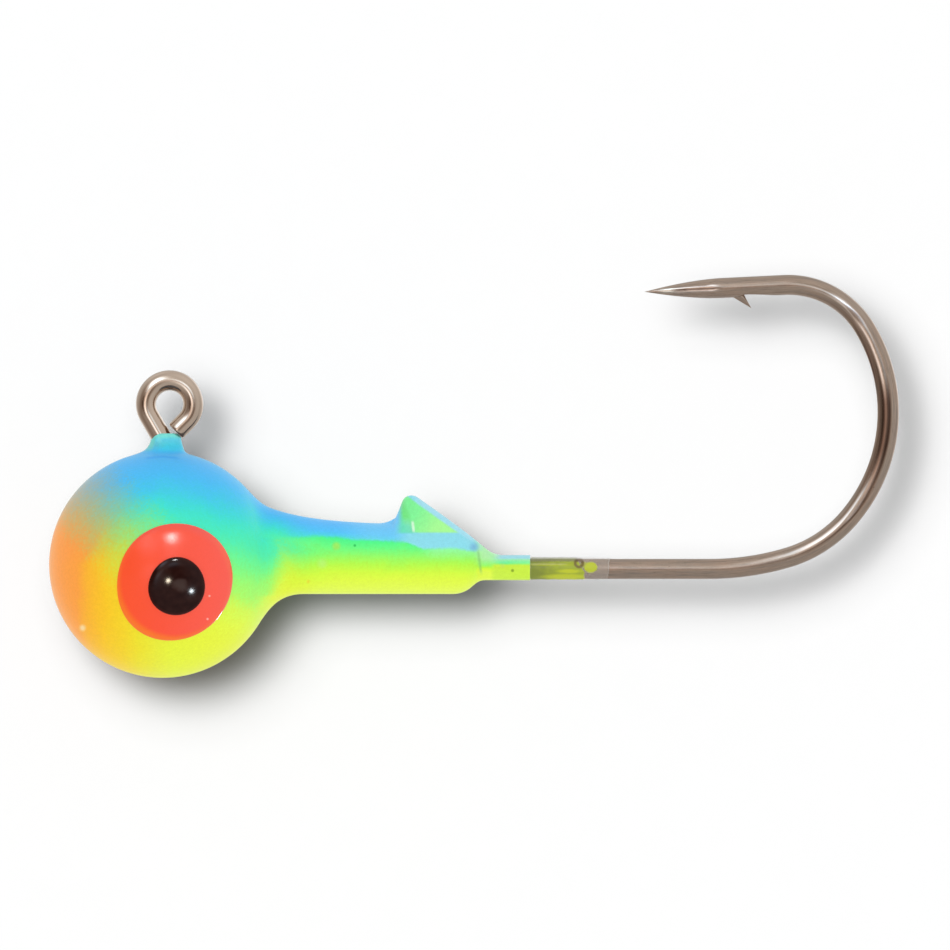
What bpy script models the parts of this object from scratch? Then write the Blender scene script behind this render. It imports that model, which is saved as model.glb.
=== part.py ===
"""Ball-head fishing jig: a forged steel jig hook with a lead head cast round it, painted, with eyes.

The design is drawn in millimetres about the centre of the ball: +X runs along the shank to the
hook's bend, +Z up to the line tie and the hook's point, and +Y across the hook's plane. One empty
carries every piece, and puts the frame's origin at the middle of the whole jig's box.
"""

import math
from collections import namedtuple

import bmesh
import bpy
import numpy as np
from mathutils import Vector

MM = 0.001

# ---- overall size ----
BALL_R = 5.10
BOX_X = (-BALL_R, 33.1348)
BOX_Z = (-BALL_R, 13.0336)

# ---- films and clearances ----
PAINT_T = 0.11
SKIN_GAP = 0.020  # between the lead and the paint round it
WIRE_GAP = 0.012  # between the wire and whatever lies round it
WIRE_R = 0.455  # round wire, 0.91 mm across
WIRE_SIDES = 16

SHARP_EDGE_DEG = 40


# ------------------------------------------------------------------ scene and shared tools


def clear_scene():
    for old in list(bpy.data.objects):
        bpy.data.objects.remove(old, do_unlink=True)


def add_frame():
    """The empty that carries every piece."""
    empty = bpy.data.objects.new("jig_frame", None)
    bpy.context.scene.collection.objects.link(empty)
    empty.location = (-MM * sum(BOX_X) / 2, 0.0, -MM * sum(BOX_Z) / 2)
    return empty


def material(name, colour, metallic, roughness, alpha=1.0):
    made = bpy.data.materials.new(name)
    made.use_nodes = True
    shader = made.node_tree.nodes["Principled BSDF"]
    shader.inputs["Base Color"].default_value = (*colour, 1.0)
    shader.inputs["Metallic"].default_value = metallic
    shader.inputs["Roughness"].default_value = roughness
    shader.inputs["Alpha"].default_value = alpha
    made.diffuse_color = (*colour, alpha)
    return made


def add_object(name, bm, look=None):
    """A named object from a bmesh drawn in millimetres, shaded smooth but for its sharp edges."""
    bmesh.ops.recalc_face_normals(bm, faces=bm.faces)
    bmesh.ops.scale(bm, vec=(MM, MM, MM), verts=bm.verts)
    mesh = bpy.data.meshes.new(name)
    bm.to_mesh(mesh)
    bm.free()
    mesh.shade_smooth()
    mesh.set_sharp_from_angle(angle=math.radians(SHARP_EDGE_DEG))
    if look:
        mesh.materials.append(look)
    obj = bpy.data.objects.new(name, mesh)
    bpy.context.scene.collection.objects.link(obj)
    obj.parent = frame
    return obj


def add_helper(name, bm):
    """A bare, unrendered object for a boolean to use."""
    obj = add_object(name, bm)
    obj.hide_render = True
    obj.display_type = "WIRE"
    return obj


def boolean(obj, other, operation):
    modifier = obj.modifiers.new(f"{operation.lower()}_{other.name}", "BOOLEAN")
    modifier.operation = operation
    modifier.solver = "EXACT"
    modifier.object = other


def loft(rings, start_point=None, end_point=None, looped=False):
    """A closed skin through rings of equally many points.

    Each end is closed by a fan to a point or by a flat cap; looped joins the last ring to the first.
    """
    bm = bmesh.new()
    rows = [[bm.verts.new(Vector(p)) for p in ring] for ring in rings]
    if looped:
        rows.append(rows[0])
    count = len(rows[0])
    for first, second in zip(rows, rows[1:]):
        for j in range(count):
            k = (j + 1) % count
            bm.faces.new((first[j], first[k], second[k], second[j]))
    if looped:
        return bm
    for row, point in ((rows[0], start_point), (rows[-1], end_point)):
        if point is None:
            bm.faces.new(row)
            continue
        tip = bm.verts.new(Vector(point))
        for j in range(count):
            bm.faces.new((row[j], row[(j + 1) % count], tip))
    return bm


def turn_angles(sides):
    return [2 * math.pi * j / sides for j in range(sides)]


# ------------------------------------------------------------------ hook

# line tie and leg
RING_X, RING_Z = 0.320, 7.222  # centre of the line tie's ring
RING_R = 1.064  # to the middle of the wire
RING_TIP_DEG = -45.0  # where the ring's loose end leaves its circle
RING_TIP_LEN = 0.675  # straight length of the loose end
RING_LEG_DEG = 210.0  # where the ring turns into the leg
RING_STEPS = 17
LEG_X = 0.315
LEG_BEND_R = 1.2
LEG_BEND_DEG = RING_LEG_DEG - 180.0  # brings the leg to vertical
LEG_BEND_STEPS = 3
HEEL_R = 0.95  # the 90 degree jig bend, hidden in the lead
HEEL_STEPS = 7

# shank and bend
SHANK_Z = -0.20
SHANK_STATIONS_X = (6.0, 11.0, 16.0, 20.6, 24.587)  # the last is where the bend starts
BEND_ARCS = (  # tangent arcs: radius, degrees, steps
    (12.575, 16.24, 2),
    (5.773, 33.95, 6),
    (7.361, 70.81, 10),
    (3.983, 61.80, 10),
)
# the forging is fullest at this turn of the bend, and fades out this far to either side
FORGED_MIDDLE_DEG, FORGED_REACH_DEG = 92.0, 58.0
FORGED_HALF_WIDTH = 0.513  # in the hook's plane
FORGED_HALF_THICK = 0.395  # across the hook's plane, to the flats
FULL_FLATS_AT = 0.6  # share of the forging at which the flats are full
FLAT_CORNER_DEG = 67.5

# arm, point and barb; "along" is measured back from the point
ARM_LEN = 6.288  # from the end of the bend to the point
SPEAR_LEN = 3.50  # ground point
SPEAR_POWER = 1.7  # bulges the ground point's profile
SPEAR_SHARES = (1.0, 0.84, 0.69, 0.55, 0.42, 0.31, 0.21, 0.12, 0.05)
PARED = (  # the arm's inner side behind the barb: along, depth cut away
    (4.30, 0.0), (4.44, 0.105), (4.66, 0.105), (5.10, 0.08), (5.55, 0.04), (5.95, 0.0),
)
# barb: along, and in from the arm's middle
BARB_FRONT, BARB_BACK, BARB_TIP = (3.97, 0.36), (4.45, 0.30), (4.77, 0.975)
BARB_HALF_THICK = 0.26
BARB_TIP_HALF_THICK = 0.03

# A place on the wire's middle line. forged is the share of the bend's forging, and from_tip the
# distance from the point, given along the arm only.
Station = namedtuple("Station", "x z heading forged from_tip", defaults=(0.0, None))


def ahead(start, distance, from_tip=None):
    """The station a straight distance on from start."""
    x = start.x + distance * math.cos(start.heading)
    z = start.z + distance * math.sin(start.heading)
    return Station(x, z, start.heading, from_tip=from_tip)


def arc(start, radius, degrees, steps, forging=lambda heading: 0.0):
    """Stations after start along an arc; positive degrees turn from +X towards +Z."""
    side = math.copysign(1.0, degrees)
    centre_x = start.x - side * radius * math.sin(start.heading)
    centre_z = start.z + side * radius * math.cos(start.heading)
    stations = []
    for i in range(1, steps + 1):
        heading = start.heading + math.radians(degrees) * i / steps
        x = centre_x + side * radius * math.sin(heading)
        z = centre_z - side * radius * math.cos(heading)
        stations.append(Station(x, z, heading, forging(heading)))
    return stations


def hook_path():
    """Stations from the ring's loose end to the end of the arm, and the point itself."""
    ring_start = math.radians(RING_TIP_DEG)
    leaving = Station(
        RING_X + RING_R * math.cos(ring_start),
        RING_Z + RING_R * math.sin(ring_start),
        ring_start + math.pi / 2,
    )
    path = [ahead(leaving, -RING_TIP_LEN), leaving]
    path += arc(leaving, RING_R, RING_LEG_DEG - RING_TIP_DEG, RING_STEPS)

    # leg: slanting down to LEG_X, then a gentle turn to vertical
    tangent = LEG_BEND_R * math.tan(math.radians(LEG_BEND_DEG / 2))
    reach = (LEG_X - path[-1].x) / math.cos(path[-1].heading)
    path.append(ahead(path[-1], reach - tangent))
    path += arc(path[-1], LEG_BEND_R, -LEG_BEND_DEG, LEG_BEND_STEPS)

    path.append(path[-1]._replace(z=SHANK_Z + HEEL_R))
    path += arc(path[-1], HEEL_R, 90.0, HEEL_STEPS)
    shank_heading = path[-1].heading
    path += [Station(x, SHANK_Z, shank_heading) for x in SHANK_STATIONS_X]

    def forging(heading):
        turned = math.degrees(heading - shank_heading)
        off = (turned - FORGED_MIDDLE_DEG) / FORGED_REACH_DEG
        return math.cos(math.pi / 2 * max(-1.0, min(1.0, off))) ** 2

    for radius, degrees, steps in BEND_ARCS:
        path += arc(path[-1], radius, degrees, steps, forging)

    arm_start = path[-1]
    behind_barb = [along for along, _ in reversed(PARED)]
    spear = [SPEAR_LEN * share for share in SPEAR_SHARES]
    path += [ahead(arm_start, ARM_LEN - along, along) for along in behind_barb + spear]
    return path, ahead(arm_start, ARM_LEN)


def wire_section(forged, grow):
    """The wire's outline as (in the hook's plane, across it), grown by a clearance."""
    flats = min(1.0, forged / FULL_FLATS_AT)
    flats = flats * flats * (3 - 2 * flats)
    half_width = WIRE_R + (FORGED_HALF_WIDTH - WIRE_R) * forged
    half_thick = WIRE_R + (FORGED_HALF_THICK - WIRE_R) * flats
    corner = WIRE_R * math.sin(math.radians(FLAT_CORNER_DEG))
    scale = (WIRE_R + grow) / WIRE_R
    points = []
    for angle in turn_angles(WIRE_SIDES):
        across = WIRE_R * math.sin(angle)
        # the flats take over from the round as the forging grows
        if abs(across) >= corner - 1e-6:
            level = min(abs(across), half_thick) * (1 - flats) + half_thick * flats
            across = math.copysign(level, across)
        else:
            across = across * (1 - flats) + across * flats * half_thick / corner
        points.append((half_width * math.cos(angle) * scale, across * scale))
    return points


def wire_body(grow=0.0):
    """The whole wire, with its radius grown by a clearance."""
    path, point = hook_path()
    # a channel runs on past the loose end by its clearance
    path[0] = ahead(path[0], -grow)
    rings = []
    for x, z, heading, forged, from_tip in path:
        normal_x, normal_z = -math.sin(heading), math.cos(heading)
        shrink, pared = 1.0, 0.0
        if from_tip is not None:
            shrink = 1 - (1 - min(1.0, from_tip / SPEAR_LEN)) ** SPEAR_POWER
            pared = float(np.interp(from_tip, *zip(*PARED)))
        ring = []
        for inward, across in wire_section(forged, grow):
            inward = min(inward * shrink, WIRE_R + grow - pared)
            ring.append((x + inward * normal_x, across * shrink, z + inward * normal_z))
        rings.append(ring)
    return loft(rings, end_point=(point.x, 0.0, point.z))


def barb_body():
    """A sliver raised from the arm's inner side, its sharp edge pointing back to the bend."""
    _, point = hook_path()
    inward_x, inward_z = -math.sin(point.heading), math.cos(point.heading)

    def at(along, depth, y):
        place = ahead(point, -along)
        return (place.x + inward_x * depth, y, place.z + inward_z * depth)

    full, thin = BARB_HALF_THICK, BARB_TIP_HALF_THICK
    (front, front_depth), (back, back_depth), (tip, tip_depth) = BARB_FRONT, BARB_BACK, BARB_TIP
    # each section's root edge, then its crest edge: along, depth, half thickness
    sections = (
        ((front - 0.25, 0.0, full), (front, front_depth + 0.07, 0.8 * full)),
        ((back - 0.03, 0.0, full), (front + 0.40, 0.69, 0.62 * full)),
        ((back + 0.01, back_depth, full), (front + 0.52, 0.765, 0.5 * full)),
        ((tip - 0.045, tip_depth - 0.08, thin), (tip, tip_depth, thin)),
    )
    rings = []
    for (*root, root_y), (*crest, crest_y) in sections:
        rings.append([at(*root, -root_y), at(*root, root_y), at(*crest, crest_y), at(*crest, -crest_y)])
    return loft(rings)


def build_hook():
    """One length of wire, with its ring, heel, forged bend, ground point and barb."""
    hook = add_object("hook", wire_body(), STEEL)
    barb = add_helper("barb_sliver", barb_body())
    boolean(hook, barb, "UNION")


# ------------------------------------------------------------------ head

# All sizes are to the outside of the paint. Planes are (x, z, slope in degrees) of a point on them.
COLLAR_BOTTOM, COLLAR_TOP = -1.33, 1.78
# the collar's top swells by FLARE at FLARE_X, dying away over FLARE_LEN, level ahead of FLARE_MIN_X
FLARE, FLARE_X, FLARE_LEN, FLARE_MIN_X = 0.87, 4.6, 2.1, 3.0
COLLAR_END_X, COLLAR_END_R = 14.36, 1.30
COLLAR_RAMP_R = 0.5  # edge where the ramp cuts the collar

KEEPER_FRONT = (10.62, 2.45, 60.0)
KEEPER_RAMP = (13.05, 1.91, -35.3)
KEEPER_TAIL = (14.30, 0.99, -42.0)
RAMP_TAIL_BLEND = 0.25
KEEPER_TOP_R = 0.60
KEEPER_EDGE_R = 0.36
KEEPER_NOSE = 0.85  # depth behind the front face over which the keeper widens
KEEPER_HALF_WIDTH, KEEPER_WIDTH_Z = 0.98, 1.44  # half width, at this height
KEEPER_TAPER = 0.08  # half width lost per mm of height
KEEPER_TAIL_NARROWING, KEEPER_NARROWING_X = 0.36, (13.1, 14.8)
KEEPER_BOTTOM, KEEPER_BOTTOM_R = -0.30, 0.25
# blend of the keeper into the collar, at the front and at the back of a stretch of X
KEEPER_BLEND_FRONT, KEEPER_BLEND_BACK, KEEPER_BLEND_X = 0.6, 0.25, (10.7, 11.5)

SLEEVE_R, SLEEVE_Z = 0.565, -0.14  # paint on the shank behind the collar
SLEEVE_END_X = 16.54
SLEEVE_BLEND = 0.30

# blend of the ball into the collar, growing downwards from a height over a drop
BLEND_TOP, BLEND_BOTTOM, BLEND_Z, BLEND_DROP = 0.40, 1.40, 1.2, 2.6
TAIL_FROM_X, NO_TAIL = 2.0, 9.0  # ahead of this X only the ball counts; a distance far outside

ROOM_END_X = 14.75  # end of the space for the lead
LEAD_END_X = ROOM_END_X - SKIN_GAP

NUB_SIDES = 24
NUB = (  # boss round the line tie's leg: middle x, radius, height
    (0.16, 0.46, 5.90), (0.16, 0.59, 5.83), (0.17, 0.66, 5.68),
    (0.17, 0.73, 5.52), (0.14, 0.815, 5.35), (0.10, 0.90, 5.21),
    (0.05, 1.01, 5.08), (-0.01, 1.13, 4.985), (-0.01, 1.13, 4.50),
)

# rings of the head: degrees from the ball's front pole, then X, closer where the shape turns
BALL_STATIONS_DEG = (7, 18, 30, 42, 54, 66, 78, 90, 101, 112, 122, 131, 138.5)
TAIL_STATIONS_X = (
    4.12, 4.45, 4.78, 5.12, 5.55, 6.1,  # neck
    7.0, 8.1, 9.3,  # collar
    10.0, 10.3, 10.55, 10.75, 10.95, 11.2, 11.55, 11.95,  # keeper
    12.4, 12.85, 13.3, 13.65, 13.95, 14.2, 14.4, 14.57,
    14.75, 15.0, SLEEVE_END_X,  # sleeve
)
MIN_END_STEP = 0.02  # stations nearer than this to the end are dropped
HEAD_SIDES = 34
TOP_SPACING = 0.62  # spacing of a ring's points at its top, against even spacing
SLIDE_TO_X = 3.6  # ahead of this, inset rings slide with the ball's radius
AXIS_DROP_X = (2.0, 10.0)  # the rings' axis eases from the ball's centre to the sleeve's
SEARCH_R, SEARCH_STEPS = 8.0, 48  # bisection for the skin along each ray


def smooth_union(a, b, size):
    overlap = np.maximum(size - np.abs(a - b), 0.0)
    return np.minimum(a, b) - overlap * overlap / (4 * size)


def rounded_corner(a, b, radius):
    """The intersection of two distances, its outer corner rounded."""
    outside = np.hypot(np.maximum(a + radius, 0.0), np.maximum(b + radius, 0.0))
    return np.minimum(np.maximum(a + radius, b + radius), 0.0) + outside - radius


def smoothstep(x, low, high):
    t = np.clip((x - low) / (high - low), 0.0, 1.0)
    return t * t * (3 - 2 * t)


def above_plane(x, z, plane):
    plane_x, plane_z, degrees = plane
    slope = math.radians(degrees)
    return (x - plane_x) * -math.sin(slope) + (z - plane_z) * math.cos(slope)


def collar_field(x, y, z, ramp):
    reach = np.maximum(x, FLARE_MIN_X)
    top = COLLAR_TOP + FLARE * np.exp(-(reach - FLARE_X) / FLARE_LEN)
    middle, radius = (top + COLLAR_BOTTOM) / 2, (top - COLLAR_BOTTOM) / 2
    tube = np.hypot(y, z - middle) - radius
    tube = rounded_corner(tube, x - COLLAR_END_X, COLLAR_END_R)
    return rounded_corner(tube, ramp, COLLAR_RAMP_R)


def keeper_field(x, y, z, ramp):
    front = above_plane(x, z, KEEPER_FRONT)
    profile = rounded_corner(front, ramp, KEEPER_TOP_R)
    nose = np.clip(-front / KEEPER_NOSE, 0.0, 1.0)
    width = KEEPER_HALF_WIDTH - KEEPER_TAPER * (z - KEEPER_WIDTH_Z)
    width = width * np.sqrt(np.clip(1 - (1 - nose) ** 2, 0.0, 1.0))
    width = width - KEEPER_TAIL_NARROWING * smoothstep(x, *KEEPER_NARROWING_X)
    keeper = rounded_corner(profile, np.abs(y) - width, KEEPER_EDGE_R)
    return rounded_corner(keeper, KEEPER_BOTTOM - z, KEEPER_BOTTOM_R)


def head_field(x, y, z):
    """Signed distance, near enough, from the painted ball, collar, keeper and sleeve."""
    ball = np.sqrt(x * x + y * y + z * z) - BALL_R
    ramp = -smooth_union(
        -above_plane(x, z, KEEPER_RAMP), -above_plane(x, z, KEEPER_TAIL), RAMP_TAIL_BLEND
    )
    keeper_blend = KEEPER_BLEND_FRONT - (KEEPER_BLEND_FRONT - KEEPER_BLEND_BACK) * smoothstep(
        x, *KEEPER_BLEND_X
    )
    tail = smooth_union(collar_field(x, y, z, ramp), keeper_field(x, y, z, ramp), keeper_blend)
    sleeve = np.hypot(y, z - SLEEVE_Z) - SLEEVE_R
    tail = smooth_union(tail, sleeve, SLEEVE_BLEND)
    lowness = np.clip((BLEND_Z - z) / BLEND_DROP, 0.0, 1.0)
    blend = BLEND_TOP + (BLEND_BOTTOM - BLEND_TOP) * lowness
    return smooth_union(ball, np.where(x > TAIL_FROM_X, tail, NO_TAIL), blend)


def head_stations(end_x):
    ball = [-BALL_R * math.cos(math.radians(degrees)) for degrees in BALL_STATIONS_DEG]
    return [x for x in (*ball, *TAIL_STATIONS_X) if x < end_x - MIN_END_STEP] + [end_x]


def head_body(inset, end_x):
    """The head's skin, inset by this much: rays square to X from an inner line find each ring."""
    turns = np.linspace(-1.0, 1.0, HEAD_SIDES, endpoint=False)
    turns = turns * (TOP_SPACING + (1 - TOP_SPACING) * np.abs(turns))
    angles = math.pi / 2 + math.pi * turns
    cos, sin = np.cos(angles), np.sin(angles)
    rings = []
    for x in head_stations(end_x):
        # sliding keeps the skins round the ball parallel
        at = x * (BALL_R - inset) / BALL_R if x < SLIDE_TO_X else x
        axis_z = SLEEVE_Z * float(smoothstep(x, *AXIS_DROP_X))
        low, high = np.zeros(HEAD_SIDES), np.full(HEAD_SIDES, SEARCH_R)
        for _ in range(SEARCH_STEPS):
            mid = (low + high) / 2
            distance = head_field(np.full(HEAD_SIDES, at), mid * cos, axis_z + mid * sin)
            inside = distance + inset < 0
            low, high = np.where(inside, mid, low), np.where(inside, high, mid)
        rings.append([(at, r * c, axis_z + r * s) for r, c, s in zip(low, cos, sin)])
    return loft(rings, start_point=(-(BALL_R - inset), 0.0, 0.0))


def nub_body(inset):
    """The boss round the line tie's leg: round in plan, its top a little towards +X."""
    rings = []
    for middle, radius, z in NUB:
        r = radius - inset
        rings.append([
            (middle + r * math.cos(angle), r * math.sin(angle), z - inset)
            for angle in turn_angles(NUB_SIDES)
        ])
    return loft(rings)


def build_lead_head(channel):
    """Lead casting: ball, collar and keeper, with the boss round the leg."""
    inset = PAINT_T + SKIN_GAP
    head = add_object("lead_head", head_body(inset, LEAD_END_X), LEAD)
    nub = add_helper("lead_nub", nub_body(inset))
    boolean(head, nub, "UNION")
    boolean(head, channel, "DIFFERENCE")


def build_paint_coat(channel):
    """Paint: the outside skin less the space that the lead and the wire fill."""
    coat = add_object("paint_coat", head_body(0.0, SLEEVE_END_X), PAINT)
    coat_nub = add_helper("paint_nub", nub_body(0.0))
    room = add_helper("lead_room", head_body(PAINT_T, ROOM_END_X))
    room_nub = add_helper("lead_room_nub", nub_body(PAINT_T))
    boolean(room, room_nub, "UNION")
    boolean(coat, coat_nub, "UNION")
    boolean(coat, room, "DIFFERENCE")
    boolean(coat, channel, "DIFFERENCE")


# ------------------------------------------------------------------ clear coat

RUNOUT_GAP = 0.02  # behind the end of the paint
RUNOUT_FROM_X = SLEEVE_END_X + RUNOUT_GAP
RUNOUT_TO_X = 20.20
RUNOUT = (  # share of the length, outer radius, height of its middle
    (0.0, 0.506, -0.175), (0.80, 0.500, -0.180), (0.93, 0.488, -0.193), (1.0, 0.484, -0.195),
)


def shank_ring(x, radius, middle_z):
    return [
        (x, radius * math.sin(angle), middle_z + radius * math.cos(angle))
        for angle in turn_angles(WIRE_SIDES)
    ]


def build_runout():
    """A thin film round the shank past the colour, thicker on top, open at both ends."""
    inner, outer = [], []
    for share, radius, middle_z in RUNOUT:
        x = RUNOUT_FROM_X + (RUNOUT_TO_X - RUNOUT_FROM_X) * share
        inner.append(shank_ring(x, WIRE_R + WIRE_GAP, SHANK_Z))
        outer.append(shank_ring(x, radius, middle_z))
    add_object("clear_coat_runout", loft(outer + inner[::-1], looped=True), FILM)


# ------------------------------------------------------------------ eyes

# directions from the ball's centre to the -Y eye
IRIS_DIR = (0.1322, -0.9757, -0.1744)
PUPIL_DIR = (0.1360, -0.9724, -0.1900)
IRIS_CHORD_R = 2.65
PUPIL_CHORD_R = IRIS_CHORD_R / 2
DOT_RIM_T, DOT_MID_T = 0.03, 0.13  # thickness of each dot at its rim and middle
DOT_GAP = 0.03  # under each dot
DOT_SIDES = 36
IRIS_RINGS, PUPIL_RINGS = 4, 3
IRIS_BASE_R = BALL_R + DOT_GAP
IRIS_LIMIT = math.asin(IRIS_CHORD_R / IRIS_BASE_R)  # angle from its axis to its rim


def dot_thickness(angle, limit):
    return DOT_RIM_T + (DOT_MID_T - DOT_RIM_T) * (1 - (angle / limit) ** 2)


def iris_base(angle):
    return IRIS_BASE_R


def pupil_base(angle):
    return IRIS_BASE_R + dot_thickness(angle, IRIS_LIMIT) + DOT_GAP


def dot_body(direction, chord_r, base, ring_count, mirror):
    """A domed drop of paint; base(angle) is its underside's distance from the ball's centre."""
    axis = Vector(direction).normalized()
    if mirror:
        axis.y = -axis.y
    across = axis.cross(Vector((0, 0, 1))).normalized()
    up = across.cross(axis).normalized()
    limit = math.asin(chord_r / base(0.0))

    def ring(angle, distance):
        points = []
        for turn in turn_angles(DOT_SIDES):
            side = across * math.cos(turn) + up * math.sin(turn)
            points.append((axis * math.cos(angle) + side * math.sin(angle)) * distance)
        return points

    steps = [limit * (i + 1) / ring_count for i in range(ring_count)]
    lower = [ring(angle, base(angle)) for angle in steps]
    upper = [ring(angle, base(angle) + dot_thickness(angle, limit)) for angle in steps]
    return loft(
        lower + upper[::-1],
        start_point=axis * base(0.0),
        end_point=axis * (base(0.0) + DOT_MID_T),
    )


def build_eye(side, mirror):
    iris = dot_body(IRIS_DIR, IRIS_CHORD_R, iris_base, IRIS_RINGS, mirror)
    add_object(f"eye_iris_{side}", iris, IRIS)
    pupil = dot_body(PUPIL_DIR, PUPIL_CHORD_R, pupil_base, PUPIL_RINGS, mirror)
    add_object(f"eye_pupil_{side}", pupil, PUPIL)


# ------------------------------------------------------------------ build

clear_scene()
frame = add_frame()

STEEL = material("hook_nickel", colour=(0.30, 0.245, 0.20), metallic=1.0, roughness=0.28)
LEAD = material("cast_lead", colour=(0.27, 0.28, 0.30), metallic=1.0, roughness=0.55)
PAINT = material("spray_paint", colour=(0.45, 0.98, 0.20), metallic=0.0, roughness=0.34)
IRIS = material("iris_paint", colour=(0.96, 0.11, 0.07), metallic=0.0, roughness=0.22)
PUPIL = material("pupil_paint", colour=(0.02, 0.008, 0.006), metallic=0.0, roughness=0.16)
FILM = material("clear_film", colour=(0.42, 0.45, 0.10), metallic=0.0, roughness=0.20, alpha=0.6)

build_hook()
# the same wire, a clearance larger all round, opens the channel for it
wire_channel = add_helper("wire_channel", wire_body(WIRE_GAP))
build_lead_head(wire_channel)
build_paint_coat(wire_channel)
build_runout()
build_eye("left", mirror=False)
build_eye("right", mirror=True)
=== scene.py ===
"""A painted ball-head jig: a lead ball with a collar and keeper behind it, cast on a bent hook.

Shapes are drawn in millimetres about the ball's centre: +X runs along the shank, +Z to the line
tie and +Y away from the camera. They are moved into the frame, in metres, by the paint coat's box.
"""

import math
from collections import namedtuple

import bpy
import numpy as np
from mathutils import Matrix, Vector


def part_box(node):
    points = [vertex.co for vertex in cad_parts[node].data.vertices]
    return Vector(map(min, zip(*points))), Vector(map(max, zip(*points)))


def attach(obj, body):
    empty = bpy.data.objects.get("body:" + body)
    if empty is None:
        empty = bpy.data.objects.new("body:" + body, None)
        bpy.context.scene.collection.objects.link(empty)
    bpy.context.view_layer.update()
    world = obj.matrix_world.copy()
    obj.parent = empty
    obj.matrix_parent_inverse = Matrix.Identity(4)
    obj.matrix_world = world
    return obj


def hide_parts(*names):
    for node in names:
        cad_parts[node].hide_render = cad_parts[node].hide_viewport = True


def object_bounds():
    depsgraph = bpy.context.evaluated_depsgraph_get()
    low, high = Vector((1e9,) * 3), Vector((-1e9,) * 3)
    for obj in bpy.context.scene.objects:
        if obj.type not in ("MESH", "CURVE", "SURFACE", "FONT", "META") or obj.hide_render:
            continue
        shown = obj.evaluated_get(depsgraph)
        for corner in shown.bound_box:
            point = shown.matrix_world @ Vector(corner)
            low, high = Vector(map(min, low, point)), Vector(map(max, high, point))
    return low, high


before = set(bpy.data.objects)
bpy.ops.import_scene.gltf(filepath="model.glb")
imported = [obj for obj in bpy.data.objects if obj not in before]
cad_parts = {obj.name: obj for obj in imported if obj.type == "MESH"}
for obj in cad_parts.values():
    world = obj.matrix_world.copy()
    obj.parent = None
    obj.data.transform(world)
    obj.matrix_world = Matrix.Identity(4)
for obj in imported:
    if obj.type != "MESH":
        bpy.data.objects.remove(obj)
cad_lo, cad_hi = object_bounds()
scene = bpy.context.scene

MM = 0.001
BALL_R = 5.10
coat_lo, coat_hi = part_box("paint_coat")
CENTRE = Vector((coat_lo.x + BALL_R * MM, (coat_lo.y + coat_hi.y) / 2, coat_lo.z + BALL_R * MM))

# ================================================================== mesh tools


def in_frame(points):
    """Millimetres about the ball's centre, as metres in the frame."""
    return np.asarray(points, float) * MM + np.array(CENTRE)


def new_object(name, points, faces):
    mesh = bpy.data.meshes.new(name)
    mesh.from_pydata(np.asarray(points, float).tolist(), [], [list(map(int, f)) for f in faces])
    mesh.validate()
    mesh.shade_smooth()
    obj = bpy.data.objects.new(name, mesh)
    scene.collection.objects.link(obj)
    return obj


def shade(obj, sharp):
    """Smooth shading, with edges left sharp beyond that many degrees."""
    obj.data.shade_smooth()
    obj.data.set_sharp_from_angle(angle=math.radians(sharp))


def read_points(mesh):
    points = np.empty(len(mesh.vertices) * 3, np.float32)
    mesh.vertices.foreach_get("co", points)
    return points.reshape(-1, 3).astype(float)


def write_points(mesh, points):
    mesh.vertices.foreach_set("co", points.astype(np.float32).ravel())
    mesh.update()


def apply_modifiers(obj):
    graph = bpy.context.evaluated_depsgraph_get()
    made = bpy.data.meshes.new_from_object(obj.evaluated_get(graph))
    obj.modifiers.clear()
    obj.data = made


def carve(obj, other, operation):
    """Joins the other object to this one or cuts it away, and removes the other."""
    modifier = obj.modifiers.new("carve", "BOOLEAN")
    modifier.operation = operation
    modifier.solver = "MANIFOLD"
    modifier.object = other
    apply_modifiers(obj)
    bpy.data.objects.remove(other, do_unlink=True)


def loft_faces(rows, sides):
    faces = []
    for i in range(rows - 1):
        for j in range(sides):
            k = (j + 1) % sides
            faces.append((i * sides + j, i * sides + k, (i + 1) * sides + k, (i + 1) * sides + j))
    return faces


def loft(rings, start=None, end=None):
    """Closed skin through rings, facing outwards; an end is a fan to a point or a flat cap."""
    rings = np.asarray(rings, float)
    rows, sides = rings.shape[:2]
    points = rings.reshape(-1, 3).tolist()
    faces = loft_faces(rows, sides)
    for row, point, flip in ((0, start, True), (rows - 1, end, False)):
        ids = [row * sides + j for j in range(sides)]
        if point is None:
            faces.append(ids[::-1] if flip else ids)
            continue
        points.append(list(point))
        tip = len(points) - 1
        for j in range(sides):
            here, after = ids[j], ids[(j + 1) % sides]
            faces.append((after, here, tip) if flip else (here, after, tip))
    corners = np.array(points)
    volume = 0.0
    for face in faces:
        for i in range(1, len(face) - 1):
            a, b, c = corners[face[0]], corners[face[i]], corners[face[i + 1]]
            volume += np.dot(a, np.cross(b, c))
    if volume < 0:
        faces = [tuple(face[::-1]) for face in faces]
    return points, faces


def smoothstep(x, low, high):
    share = np.clip((x - low) / (high - low), 0.0, 1.0)
    return share * share * (3 - 2 * share)


# ================================================================== the head as a distance field
# A field is negative inside its shape. Each slope plane is x, z of a point on it and its degrees.

COLLAR_BOTTOM, COLLAR_TOP = -1.33, 1.78
FLARE, FLARE_X, FLARE_LENGTH = 0.87, 4.6, 2.1  # the collar's top rises towards the ball
FLARE_FROM_X = 3.0
COLLAR_END_X, COLLAR_END_R = 14.36, 1.30
COLLAR_RAMP_R = 0.5
COLLAR_FROM_X = 2.0
BLEND_TOP, BLEND_BOTTOM = 0.40, 1.40  # between ball and collar
BLEND_TOP_Z, BLEND_DROP = 1.2, 2.6  # where the blend starts to widen, and over what height

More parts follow.
